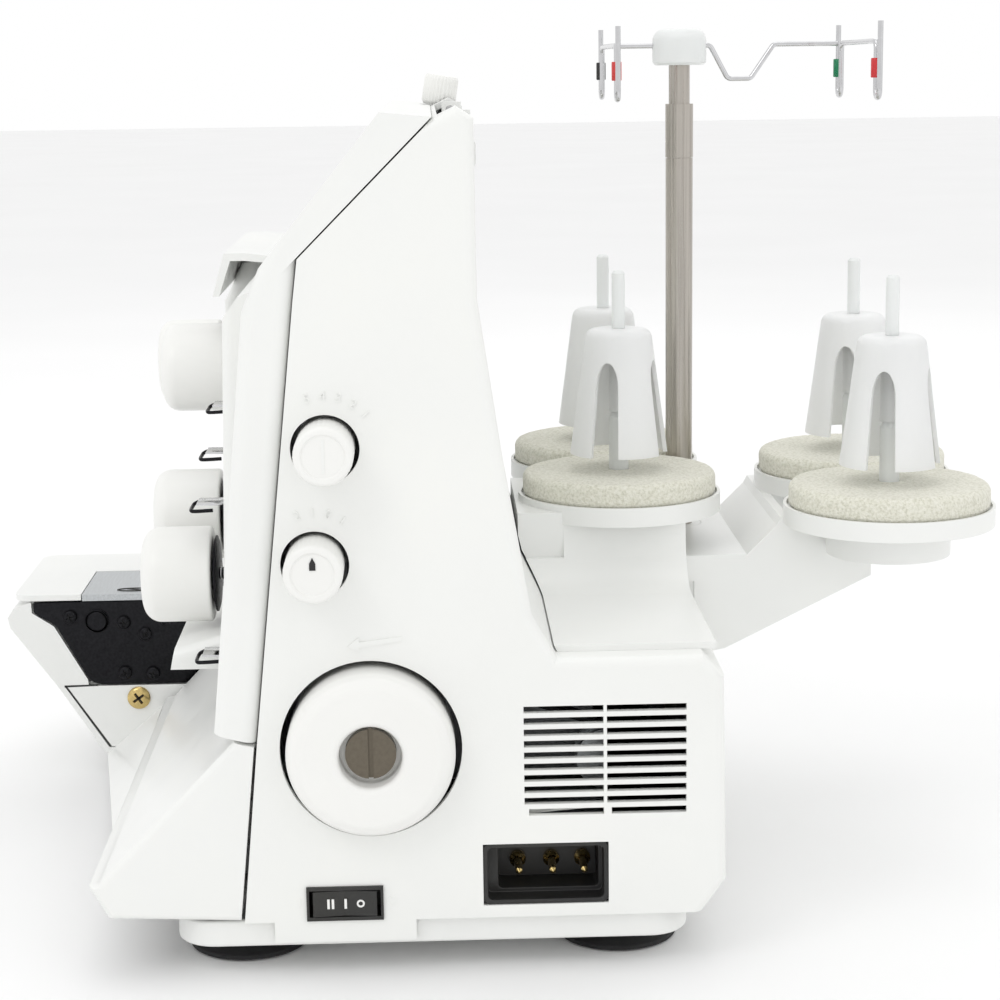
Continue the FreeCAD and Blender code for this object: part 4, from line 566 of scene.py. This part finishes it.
def make_pressure_knob():
    """The knob on the top leans with its joint's axis; its stem goes down into the casing."""
    joint = [item for item in frame["joints"] if item["child"] == "pressure_knob"][0]
    seat = Vector(joint["pos_m"])
    turn = Vector(joint["axis"]).to_track_quat("Z", "Y").to_matrix().to_4x4()
    stand = Matrix.Translation(seat) @ turn
    radius = 7.3 * MM
    tall = 12 * MM
    profile = [(0, -1 * MM), (radius - 1 * MM, -1 * MM), (radius - 0.4 * MM, 0), (radius, 0.6 * MM),
               (radius, tall - 2.2 * MM)]
    profile += arc_profile(radius - 2 * MM, tall - 2 * MM, 2 * MM, 0, 80, 6)[1:]
    profile += [(radius - 3 * MM, tall), (0, tall)]
    shape = spun(profile, Vector(), "Z", 168, rippled(radius, 0.8 * MM, 0.35 * MM, 28))
    bmesh.ops.transform(shape, matrix=stand, verts=shape.verts)
    stem = spun([(2.5 * MM, -37 * MM), (2.5 * MM, -0.9 * MM)], Vector(), "Z", 24)
    bmesh.ops.transform(stem, matrix=stand, verts=stem.verts)
    piece = from_bmesh("pressure_knob_cap", shape, "pressure_knob", KNOB)
    from_bmesh("pressure_knob_stem", stem, "pressure_knob", PLATE_STEEL)
    stands_for(piece, "presser_pressure_knob")


# ---------------------------------------------------------------- switch and inlet
def make_switch():
    low, high, middle = span("switch_rocker")
    face = high.x - 0.75 * MM
    half = 1.7 * MM
    stroke = 0.42 * MM

    def bar(name, at):
        """A short upright stroke on the rocker."""
        outline = [(at - stroke, -half), (at + stroke, -half), (at + stroke, half),
                   (at - stroke, half)]
        slab(name, outline, 0.5 * MM, Matrix.Translation((face, middle.y, middle.z))
             @ FACING_RIGHT, "switch_rocker", MARK)

    bar("switch_mark_two_a", -5.6 * MM)
    bar("switch_mark_two_b", -4.1 * MM)
    bar("switch_mark_one", 0.2 * MM)
    ring = [(1.35 * MM, 0), (1.35 * MM, 0.5 * MM), (0.75 * MM, 0.5 * MM), (0.75 * MM, 0)]
    shape = spun(ring + [ring[0]], Vector((face, middle.y + 5.3 * MM, middle.z)), "X", 32)
    from_bmesh("switch_mark_zero", shape, "switch_rocker", MARK)
    numeral("housing_mark_on", "I", Vector((SKIN_X, low.y - 4.5 * MM, middle.z)), 5 * MM,
            "machine", SATIN)
    numeral("housing_mark_off", "O", Vector((SKIN_X, high.y + 5 * MM, middle.z)), 5 * MM,
            "machine", SATIN)


# The well's lower and upper corner in Y and Z.
WELL_LOW = (8.6 * MM, 27.4 * MM)
WELL_HIGH = (42.8 * MM, 42.0 * MM)


def make_inlet():
    """The inlet's block: a wide mouth, and a deeper well round the pins."""
    low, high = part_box("power_inlet")
    rim = Vector((0, 1.6, 1.6)) * MM
    through = 2 * MM
    out = Vector((through, 0, 0))
    outer = rounded_block(low, high, 2.2 * MM)
    mouth = rounded_block(Vector((high.x - 7.4 * MM, low.y, low.z)) + rim, high + out - rim,
                          1.8 * MM)
    well = rounded_block((low.x + through, *WELL_LOW), (high.x + through, *WELL_HIGH), 1.4 * MM)
    piece = from_bmesh("inlet_body", carved(carved(outer, mouth), well), "machine", BLACK)
    bevel = piece.modifiers.new("edges", "BEVEL")
    bevel.width = 0.3 * MM
    bevel.segments = 2
    bevel.angle_limit = math.radians(40)
    bevel.limit_method = "ANGLE"
    stands_for(piece, "power_inlet")


# ---------------------------------------------------------------- spool stand
FOAM_RADIUS = 37.4 * MM
FOAM_HOLE = 4.0 * MM


def foam_profile(thick):
    """Half the outline of a foam disc: soft rims and a shallow dip on top."""
    profile = [(FOAM_HOLE, 0), (20 * MM, 0), (FOAM_RADIUS - 2.2 * MM, 0)]
    profile += arc_profile(FOAM_RADIUS - 2.6 * MM, 2.6 * MM, 2.6 * MM, -70, 0, 5)
    profile += arc_profile(FOAM_RADIUS - 3.0 * MM, thick - 3.0 * MM, 3.0 * MM, 0, 85, 6)
    profile += [(FOAM_RADIUS - 8 * MM, thick), (22 * MM, thick - 0.2 * MM), (12 * MM, thick),
                (FOAM_HOLE, thick)]
    return profile + [profile[0]]


def roughen(shape, centre, low, thick, index):
    """Moves a foam disc's skin in and out a little; each disc has its own pattern."""
    for vert in shape.verts:
        away = Vector((vert.co.x - centre.x, vert.co.y - centre.y, 0))
        if away.length < FOAM_HOLE + 2 * MM:
            continue
        slow = noise.noise(vert.co * 45 + Vector((index * 9, 0, 0)))
        quick = noise.noise(vert.co * 420 + Vector((0, index * 5, 0)))
        vert.co += away.normalized() * (slow * 0.25 - 0.25 + quick * 0.1) * MM
        if vert.co.z > low.z + thick * 0.6:
            vert.co.z += (slow * 0.2 + quick * 0.08 - 0.2) * MM


def make_foam():
    low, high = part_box("foam_discs")
    thick = high.z - low.z
    for index, node in enumerate(CONES, 1):
        centre = span(node)[2]
        shape = spun(foam_profile(thick), Vector((centre.x, centre.y, low.z)), "Z", 120)
        bmesh.ops.remove_doubles(shape, verts=shape.verts, dist=1e-6)
        bmesh.ops.subdivide_edges(shape, edges=[edge for edge in shape.edges
                                                if edge.calc_length() > 3 * MM], cuts=2,
                                  use_grid_fill=True)
        roughen(shape, centre, low, thick, index)
        piece = from_bmesh("foam_disc_%d" % index, shape, "machine", FOAM, sharp=80)
        stands_for(piece, "foam_discs")


# A cone holder has four legs with an arched slot between each two. Rows are heights in mm.
CONE_STEPS = 96
PER_LEG = CONE_STEPS // 4
CONE_HEAD = 12.75 * MM
CONE_WALL = 1.6 * MM
CONE_LID = 3.0 * MM
CONE_BORE = 2.6 * MM
CORE_LOW = 16 * MM
CONE_ROWS = [0, 3, 7, 12, 17, 22, 26, 29, 31, 32.5, 33.7, 34.6, 35.3, 35.8, 36.2, 40]
ARCH_FROM = 27
SLOT_TOP = 36.2
SLOT_HALF = math.radians(17)
HALF_OVER_SLOT = math.radians(7)
GAP_SHARE = 1 / 4


def slot_angle(row):
    """Half the angle a slot takes up at a height; it closes in a round arch."""
    if row > SLOT_TOP:
        return HALF_OVER_SLOT
    arch = max(row - ARCH_FROM, 0) / (SLOT_TOP - ARCH_FROM)
    return SLOT_HALF * math.sqrt(max(1 - arch * arch, 0.0004))


def line_angle(step, half):
    """Where one of a cone's upright lines of points stands, with a slot half an angle wide."""
    share = (step % PER_LEG) / PER_LEG - 0.5
    if abs(share) <= GAP_SHARE:
        turned = share / GAP_SHARE * half
    else:
        beyond = (abs(share) - GAP_SHARE) / (0.5 - GAP_SHARE)
        turned = math.copysign(half + beyond * (math.pi / 4 - half), share)
    return (step // PER_LEG) * math.pi / 2 + math.pi / 4 + turned


def in_slot(row, step):
    share = ((step + 0.5) % PER_LEG) / PER_LEG - 0.5
    return row < SLOT_TOP and abs(share) < GAP_SHARE


def ring_of(shape, reach, height, angles):
    return [shape.verts.new((reach * math.cos(angle), reach * math.sin(angle), height))
            for angle in angles]


def band(shape, first, last):
    """Faces all the way round between two rings of a cone."""
    for step in range(CONE_STEPS):
        after = (step + 1) % CONE_STEPS
        shape.faces.new((first[step], first[after], last[after], last[step]))


def fill_legs(shape, rows, outer, inner):
    """Both faces of a cone's wall, and its edges round the slots and at the foot."""
    filled = [(row, step) for row in range(len(rows) - 1) for step in range(CONE_STEPS)
              if not in_slot(rows[row], step)]
    for row, step in filled:
        after = (step + 1) % CONE_STEPS
        shape.faces.new((outer[row][step], outer[row][after], outer[row + 1][after],
                         outer[row + 1][step]))
        shape.faces.new((inner[row][step], inner[row + 1][step], inner[row + 1][after],
                         inner[row][after]))
    known = set(filled)
    for row, step in filled:
        before = (step - 1) % CONE_STEPS
        after = (step + 1) % CONE_STEPS
        if (row, before) not in known:
            shape.faces.new((outer[row][step], outer[row + 1][step], inner[row + 1][step],
                             inner[row][step]))
        if (row, after) not in known:
            shape.faces.new((outer[row][after], inner[row][after], inner[row + 1][after],
                             outer[row + 1][after]))
        if (row - 1, step) not in known:
            shape.faces.new((outer[row][step], inner[row][step], inner[row][after],
                             outer[row][after]))


def cone_shell(foot, tall):
    """The hollow cone on its four legs, standing on Z 0, with a rounded lid and its bore."""
    top = tall - CONE_LID

    def radius_at(height):
        return foot + (CONE_HEAD - foot) * min(height / top, 1)

    shape = bmesh.new()
    rows = CONE_ROWS + [top / MM]
    outer = []
    inner = []
    for row in rows:
        angles = [line_angle(step, slot_angle(row)) for step in range(CONE_STEPS)]
        reach = radius_at(row * MM)
        outer.append(ring_of(shape, reach, row * MM, angles))
        inner.append(ring_of(shape, reach - CONE_WALL, row * MM, angles))
    fill_legs(shape, rows, outer, inner)
    even = [2 * math.pi * step / CONE_STEPS for step in range(CONE_STEPS)]
    last = outer[-1]
    for above, inset in ((1.0, 0.35), (2.0, 1.1), (2.7, 2.3), (3.0, 4.0)):
        height = top + above * MM
        ring = ring_of(shape, radius_at(height) - inset * MM, height, even)
        band(shape, last, ring)
        last = ring
    hole = ring_of(shape, CONE_BORE, top + CONE_LID, even)
    hole_low = ring_of(shape, CONE_BORE, top + 1.2 * MM, even)
    band(shape, last, hole)
    band(shape, hole, hole_low)
    band(shape, hole_low, inner[-1])
    loose = [vert for vert in shape.verts if not vert.link_faces]
    bmesh.ops.delete(shape, geom=loose, context="VERTS")
    return shape


def make_cones():
    for index, node in enumerate(CONES, 1):
        low, high, middle = span(node)
        tall = high.z - low.z
        shape = cone_shell((high.x - low.x) / 2, tall)
        bmesh.ops.transform(shape, matrix=Matrix.Translation((middle.x, middle.y, low.z))
                            @ Matrix.Rotation(math.radians(22.5), 4, "Z"), verts=shape.verts)
        stands_for(from_bmesh("cone_%d_shell" % index, shape, node, MILKY, sharp=50), node)
        core = [(CONE_BORE, CORE_LOW), (3.7 * MM, CORE_LOW), (3.9 * MM, tall - CONE_LID),
                (CONE_BORE, tall - CONE_LID)]
        tube = spun(core + [core[0]], Vector((middle.x, middle.y, low.z)), "Z", 40)
        bmesh.ops.remove_doubles(tube, verts=tube.verts, dist=1e-6)
        from_bmesh("cone_%d_core" % index, tube, node, MILKY)


# ---------------------------------------------------------------- looper area and small parts
def pan_screw(name, x, y, z, radius, tall, body, material, turn=0.0):
    """A domed screw head facing right, with a cross recess and painted shade: dark slabs at the recess
    floor.
    """
    profile = [(0, -0.2 * MM), (radius, -0.2 * MM), (radius, tall * 0.35)]
    profile += [(radius * 0.92, tall * 0.62), (radius * 0.72, tall * 0.88),
                (radius * 0.4, tall), (0, tall)]
    head = spun(profile, Vector((0, 0, 0)), "X", 40)
    half = radius * 0.12
    floor = tall * 0.35
    cross = block((floor, -radius * 0.56, -half), (tall * 2, radius * 0.56, half))
    other = block((floor, -half, -radius * 0.56), (tall * 2, half, radius * 0.56))
    shape = carved(carved(head, cross), other)
    stand = Matrix.Translation((x, y, z)) @ Matrix.Rotation(turn, 4, "X")
    bmesh.ops.transform(shape, matrix=stand, verts=shape.verts)
    # Thin dark slabs on the floor of the cross recess: painted shade.
    for label, wide, high in (("a", radius * 0.55, half * 0.9), ("b", half * 0.9, radius * 0.55)):
        shade = block((floor, -wide, -high), (floor + 0.04 * MM, wide, high))
        bmesh.ops.transform(shade, matrix=stand, verts=shade.verts)
        from_bmesh("%s_shade_%s" % (name, label), shade, body, DARK, smooth=False)
    return from_bmesh(name, shape, body, material)


# Places and outlines on the right-hand faces of the looper area: (Y, Z) in mm.
PLATE_SCREWS = [(-170.6, 71.0), (-147.4, 68.1), (-138.2, 62.8), (-147.7, 45.4), (-135.5, 44.9),
                (-118.0, 54.0)]
PLATE_EDGE = [(-186.4, 77.6), (-186.4, 73.6), (-185.4, 72.4), (-178.0, 67.9), (-176.6, 66.4),
              (-164.0, 43.2), (-161.8, 41.2), (-158, 40.2), (-73, 40.2), (-73, 77.6)]
# Thin dark strips along the joint between housing and guard: painted shade in the seam's gap.
GUARD_SEAM_SHADES = [[(-174.6, 39.7), (-173.6, 39.7), (-155.2, 11.9), (-156.2, 11.9)],
               [(-174.6, 39.2), (-160, 39.6), (-160, 40.3), (-174.6, 40.1)]]
BOSS = (-159.0, 69.0)
EYELET = (-129.8, 68.0)
PLATE_THICK = 3
SCREWS_PROUD = 1.6 * MM
SLOT_X = -90.5 * MM
SLOT_Y = -143 * MM
SLOT_WIRE = 0.35 * MM


def make_looper_plate(face):
    """The black plate with its screws, boss and eyelet."""
    plate = flat_right("looper_plate_sheet", PLATE_EDGE, PLATE_THICK,
                       (face - PLATE_THICK * MM, 0, 0), "machine", BLACK_STEEL, 0.35, 2)
    stands_for(plate, "looper_frame_plate")
    for index, (y, z) in enumerate(PLATE_SCREWS):
        pan_screw("plate_screw_%d" % index, face, y * MM, z * MM, 3.0 * MM, 1.5 * MM, "machine",
                  BLACK_STEEL, 0.5 + index)
    boss = [(0, 0), (5.2, 0), (5.2, 0.5), (4.8, 0.9), (4.5, 0.4), (4.2, 0.9), (3.8, 1.2), (0, 1.2)]
    collar = [(0, 0), (2.6, 0), (2.6, 0.8), (1.3, 0.8), (1.3, 0.1), (0, 0.1)]
    for name, profile, (y, z), steps in (("plate_boss", boss, BOSS, 56),
                                         ("plate_eyelet", collar, EYELET, 32)):
        shape = spun([(radius * MM, along * MM) for radius, along in profile],
                     Vector((face, y * MM, z * MM)), "X", steps)
        from_bmesh(name, shape, "machine", BLACK_STEEL)


def make_plate_slot():
    """The dark ring and bar drawn on the needle plate: painted shade standing for the slot's opening.
    """
    level = span("needle_plate")[1].z + 0.02 * MM
    ring = []
    for step in range(28):
        angle = 2 * math.pi * step / 28
        ring.append((SLOT_X + 2.6 * MM * math.cos(angle), SLOT_Y + 7.5 * MM * math.sin(angle),
                     level))
    wire("plate_slot_shade_ring", ring, SLOT_WIRE, "machine", DARK, cyclic=True)
    wire("plate_slot_shade_bar", [(SLOT_X - 1.7 * MM, SLOT_Y - 3.5 * MM, level),
                            (SLOT_X + 1.7 * MM, SLOT_Y + 3.5 * MM, level)],
         SLOT_WIRE, "machine", DARK, order=2)


def make_looper_area():
    face = span("looper_frame_plate")[1].x - SCREWS_PROUD
    make_looper_plate(face)
    low, high, middle = span("cover_screw")
    screw = pan_screw("cover_screw_head", low.x, middle.y, middle.z, (high.y - low.y) / 2,
                      high.x - low.x, "machine", BRASS, 0.6)
    stands_for(screw, "cover_screw")
    # Dark strips on the housing's seams: painted shade.
    for index, seam in enumerate(GUARD_SEAM_SHADES):
        flat_right("guard_seam_shade_%d" % index, seam, 0.06, (face - 0.18 * MM, 0, 0), "machine", DARK)
    make_plate_slot()


def islands(node):
    """Box corners of each separate piece of a node's shape, always in the same order."""
    shape = bmesh.new()
    shape.from_mesh(nodes[node].data)
    bmesh.ops.remove_doubles(shape, verts=shape.verts, dist=2e-6)
    left = set(shape.verts)
    boxes = []
    while left:
        front = [left.pop()]
        found = []
        while front:
            vert = front.pop()
            found.append(vert.co.copy())
            for edge in vert.link_edges:
                other = edge.other_vert(vert)
                if other in left:
                    left.remove(other)
                    front.append(other)
        boxes.append((Vector([min(co[axis] for co in found) for axis in range(3)]),
                      Vector([max(co[axis] for co in found) for axis in range(3)])))
    shape.free()
    return sorted(boxes, key=lambda pair: (*pair[0], *pair[1]))


def thread_clip(index, low, high):
    """A small plate on the dial panel with a bent wire hook."""
    size = high - low
    middle = (low + high) / 2
    outline = [(-size.x / 2, -size.y / 2), (size.x / 2, -size.y / 2),
               (size.x / 2, size.y / 2 - 1.5 * MM), (size.x / 2 - 2 * MM, size.y / 2),
               (-size.x / 2, size.y / 2)]
    piece = slab("guide_clip_%d" % index, outline, 0.7 * MM,
                 Matrix.Translation((middle.x, middle.y, low.z)), "machine", CHROME, 0.2 * MM, 2)
    bends = [(-5, 1, -0.2), (-5, -1.6, -1.0), (-4, -2.4, -2.2), (4, -2.4, -2.2), (5, -1.0, -2.4),
             (5, 6, -2.0)]
    hook = [(middle.x + x * MM, low.y + y * MM, low.z + z * MM) for x, y, z in bends]
    wire("guide_hook_%d" % index, hook, 0.7 * MM, "machine", BLACK_STEEL)
    return piece


def tension_disc(index, low, high):
    middle = (low + high) / 2
    profile = [(2.6 * MM, 0), (12.5 * MM, 0), (14.4 * MM, 0.5 * MM), (14.4 * MM, 1.1 * MM),
               (12.5 * MM, 1.4 * MM), (2.6 * MM, 1.4 * MM)]
    shape = spun(profile + [profile[0]], Vector((middle.x, high.y, middle.z)), "-Y", 72)
    bmesh.ops.remove_doubles(shape, verts=shape.verts, dist=1e-6)
    return from_bmesh("tension_disc_%d" % index, shape, "machine", BLACK_STEEL)


THREAD_PITCH = 1.2 * MM


def tension_post(index, low, high):
    """A threaded post behind a dial."""
    middle = (low + high) / 2
    long = high.y - low.y
    profile = [(0, 0), (2.4 * MM, 0), (2.4 * MM, 0.4 * MM)]
    for turn in range(int(long / THREAD_PITCH) - 1):
        along = 0.4 * MM + turn * THREAD_PITCH
        profile += [(2.4 * MM, along + 0.3 * MM), (2.15 * MM, along + 0.7 * MM),
                    (2.4 * MM, along + 1.1 * MM)]
    profile += [(2.4 * MM, long - 0.3 * MM), (2.0 * MM, long), (0, long)]
    shape = spun(profile, Vector((middle.x, high.y, middle.z)), "-Y", 32)
    return from_bmesh("tension_post_%d" % index, shape, "machine", CHROME)


def make_tension_steel():
    """The clips are flat, the discs thin from front to back, and the rest are posts."""
    node = "tension_posts_and_guides"
    for index, (low, high) in enumerate(islands(node), 1):
        size = high - low
        if size.z < 3 * MM:
            piece = thread_clip(index, low, high)
        elif size.y < 4 * MM:
            piece = tension_disc(index, low, high)
        else:
            piece = tension_post(index, low, high)
        stands_for(piece, node)


def make_sleeves():
    """Coloured sleeves on the guide wires, from the front left one to the rear right one."""
    places = sorted(islands("guide_sleeves"), key=lambda pair: (pair[0].y, pair[0].x))
    for index, ((low, high), material) in enumerate(zip(places, (DARK, RED, GREEN, RED)), 1):
        middle = (low + high) / 2
        radius = max(high.x - low.x, high.y - low.y) / 2
        tall = high.z - low.z
        profile = [(radius * 0.55, 0), (radius * 0.9, 0), (radius, 0.3 * MM),
                   (radius, tall - 0.3 * MM), (radius * 0.9, tall), (radius * 0.55, tall)]
        shape = spun(profile + [profile[0]], Vector((middle.x, middle.y, low.z)), "Z", 32)
        bmesh.ops.remove_doubles(shape, verts=shape.verts, dist=1e-6)
        piece = from_bmesh("sleeve_%d" % index, shape, "guide_head", material)
        stands_for(piece, "guide_sleeves")


def make_hub():
    low, high, middle = span("guide_hub")
    radius = (high.x - low.x) / 2
    tall = high.z - low.z
    profile = [(0, 0), (radius - 1.2 * MM, 0), (radius, 1.0 * MM), (radius, tall - 4.5 * MM)]
    profile += arc_profile(radius - 4.5 * MM, tall - 4.5 * MM, 4.5 * MM, 0, 85, 8)[1:]
    profile += [(radius - 6 * MM, tall), (0, tall)]
    shape = spun(profile, Vector((middle.x, middle.y, low.z)), "Z", 80)
    piece = from_bmesh("hub_cap", shape, "guide_head", CLOUDY)
    stands_for(piece, "guide_hub")


def make_feet():
    """Four rubber feet, cupped underneath and narrower towards the tray."""
    low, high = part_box("suction_feet")
    radius = 21 * MM
    places = [(side * (high.x - radius), y) for side in (-1, 1)
              for y in (low.y + radius, high.y - radius)]
    for index, (x, y) in enumerate(places, 1):
        profile = [(0, 1.2 * MM), (radius - 5 * MM, 1.0 * MM), (radius - 1.5 * MM, 0),
                   (radius, 0.6 * MM), (radius - 0.2 * MM, 2.0 * MM), (radius - 3.5 * MM, 3.2 * MM),
                   (radius - 5.0 * MM, 4.2 * MM), (radius - 7.0 * MM, 5.2 * MM),
                   (radius - 8.6 * MM, 6.2 * MM), (radius - 9 * MM, 8 * MM), (0, 8 * MM)]
        shape = spun(profile, Vector((x, y, 0)), "Z", 72)
        piece = from_bmesh("foot_%d" % index, shape, "machine", RUBBER)
        stands_for(piece, "suction_feet")


# ---------------------------------------------------------------- stage, light, camera
SKY_STRENGTH = 0.95
LENS = 79.59
CAMERA_PLACE = (0.8602, -0.0109, 0.3026)
CAMERA_TURN = (1.741, 11.006, -0.821)


def aim(thing, target):
    thing.rotation_euler = (Vector(target) - thing.location).to_track_quat("-Z", "Y").to_euler()


def area_light(name, place, target, size, power):
    """A round lamp; places and size in metres, power in watts."""
    lamp = bpy.data.lights.new(name, "AREA")
    lamp.shape = "DISK"
    lamp.size = size
    lamp.energy = power
    holder = bpy.data.objects.new(name, lamp)
    holder.location = place
    aim(holder, target)
    bpy.context.scene.collection.objects.link(holder)


def make_floor():
    """A plain pale floor."""
    floor_mesh = bpy.data.meshes.new("floor")
    reach = 12
    floor_mesh.from_pydata([(-reach, -reach, 0), (reach, -reach, 0), (reach, reach, 0),
                            (-reach, reach, 0)], [], [(0, 1, 2, 3)])
    floor = bpy.data.objects.new("floor", floor_mesh)
    made, tree, surface, where = shader("pale_floor", roughness=0.7)
    tree.links.new(add_ramp(tree, add_noise(tree, where, 3, 2), (0.3, (0.94, 0.94, 0.94)),
                            (0.7, (0.96, 0.96, 0.96))), surface.inputs["Base Color"])
    floor_mesh.materials.append(made)
    bpy.context.scene.collection.objects.link(floor)


def make_world():
    """Even white light from all round, and a pure white backdrop."""
    world = bpy.data.worlds.new("studio")
    bpy.context.scene.world = world
    world.use_nodes = True
    tree = world.node_tree
    sky = tree.nodes["Background"]
    sky.inputs["Color"].default_value = (1.0, 1.0, 1.0, 1)
    sky.inputs["Strength"].default_value = SKY_STRENGTH
    seen = tree.nodes.new("ShaderNodeBackground")
    seen.inputs["Strength"].default_value = 1.0
    seen.inputs["Color"].default_value = (1.0, 1.0, 1.0, 1)
    path = tree.nodes.new("ShaderNodeLightPath")
    mix = tree.nodes.new("ShaderNodeMixShader")
    tree.links.new(path.outputs["Is Camera Ray"], mix.inputs["Fac"])
    tree.links.new(sky.outputs["Background"], mix.inputs[1])
    tree.links.new(seen.outputs["Background"], mix.inputs[2])
    tree.links.new(mix.outputs["Shader"], tree.nodes["World Output"].inputs["Surface"])


def make_lights():
    middle = (0, 0, 0.15)
    area_light("key", (1.2, -1.0, 1.6), middle, 0.9, 4.2)
    area_light("fill", (1.1, 1.4, 0.9), middle, 1.4, 1.2)
    area_light("back", (-1.4, 0.4, 1.4), middle, 1.4, 2.6)
    area_light("top", (0.1, 0.0, 1.9), middle, 1.2, 2.4)


def make_camera():
    """The view from the handwheel side, a little above; turns are yaw, pitch and roll."""
    lens = bpy.data.cameras.new("camera")
    lens.sensor_width = 36
    lens.lens = LENS
    lens.clip_start = 0.01
    lens.clip_end = 60
    camera = bpy.data.objects.new("camera", lens)
    yaw, pitch, roll = (math.radians(angle) for angle in CAMERA_TURN)
    ahead = Vector((-math.cos(yaw) * math.cos(pitch), math.sin(yaw) * math.cos(pitch),
                    -math.sin(pitch)))
    right = ahead.cross(UP).normalized()
    over = right.cross(ahead)
    side = right * math.cos(roll) + over * math.sin(roll)
    top = over * math.cos(roll) - right * math.sin(roll)
    camera.matrix_world = Matrix((side, top, -ahead)).transposed().to_4x4()
    camera.location = CAMERA_PLACE
    bpy.context.scene.collection.objects.link(camera)
    bpy.context.scene.camera = camera


bpy.context.scene.view_settings.view_transform = "Standard"
make_floor()
make_world()
make_lights()
make_camera()
make_casing()
make_plain_nodes()
make_knobs()
make_dials()
make_pressure_knob()
make_switch()
make_foam()
make_cones()
make_inlet()
make_looper_area()
make_tension_steel()
make_sleeves()
make_hub()
make_feet()
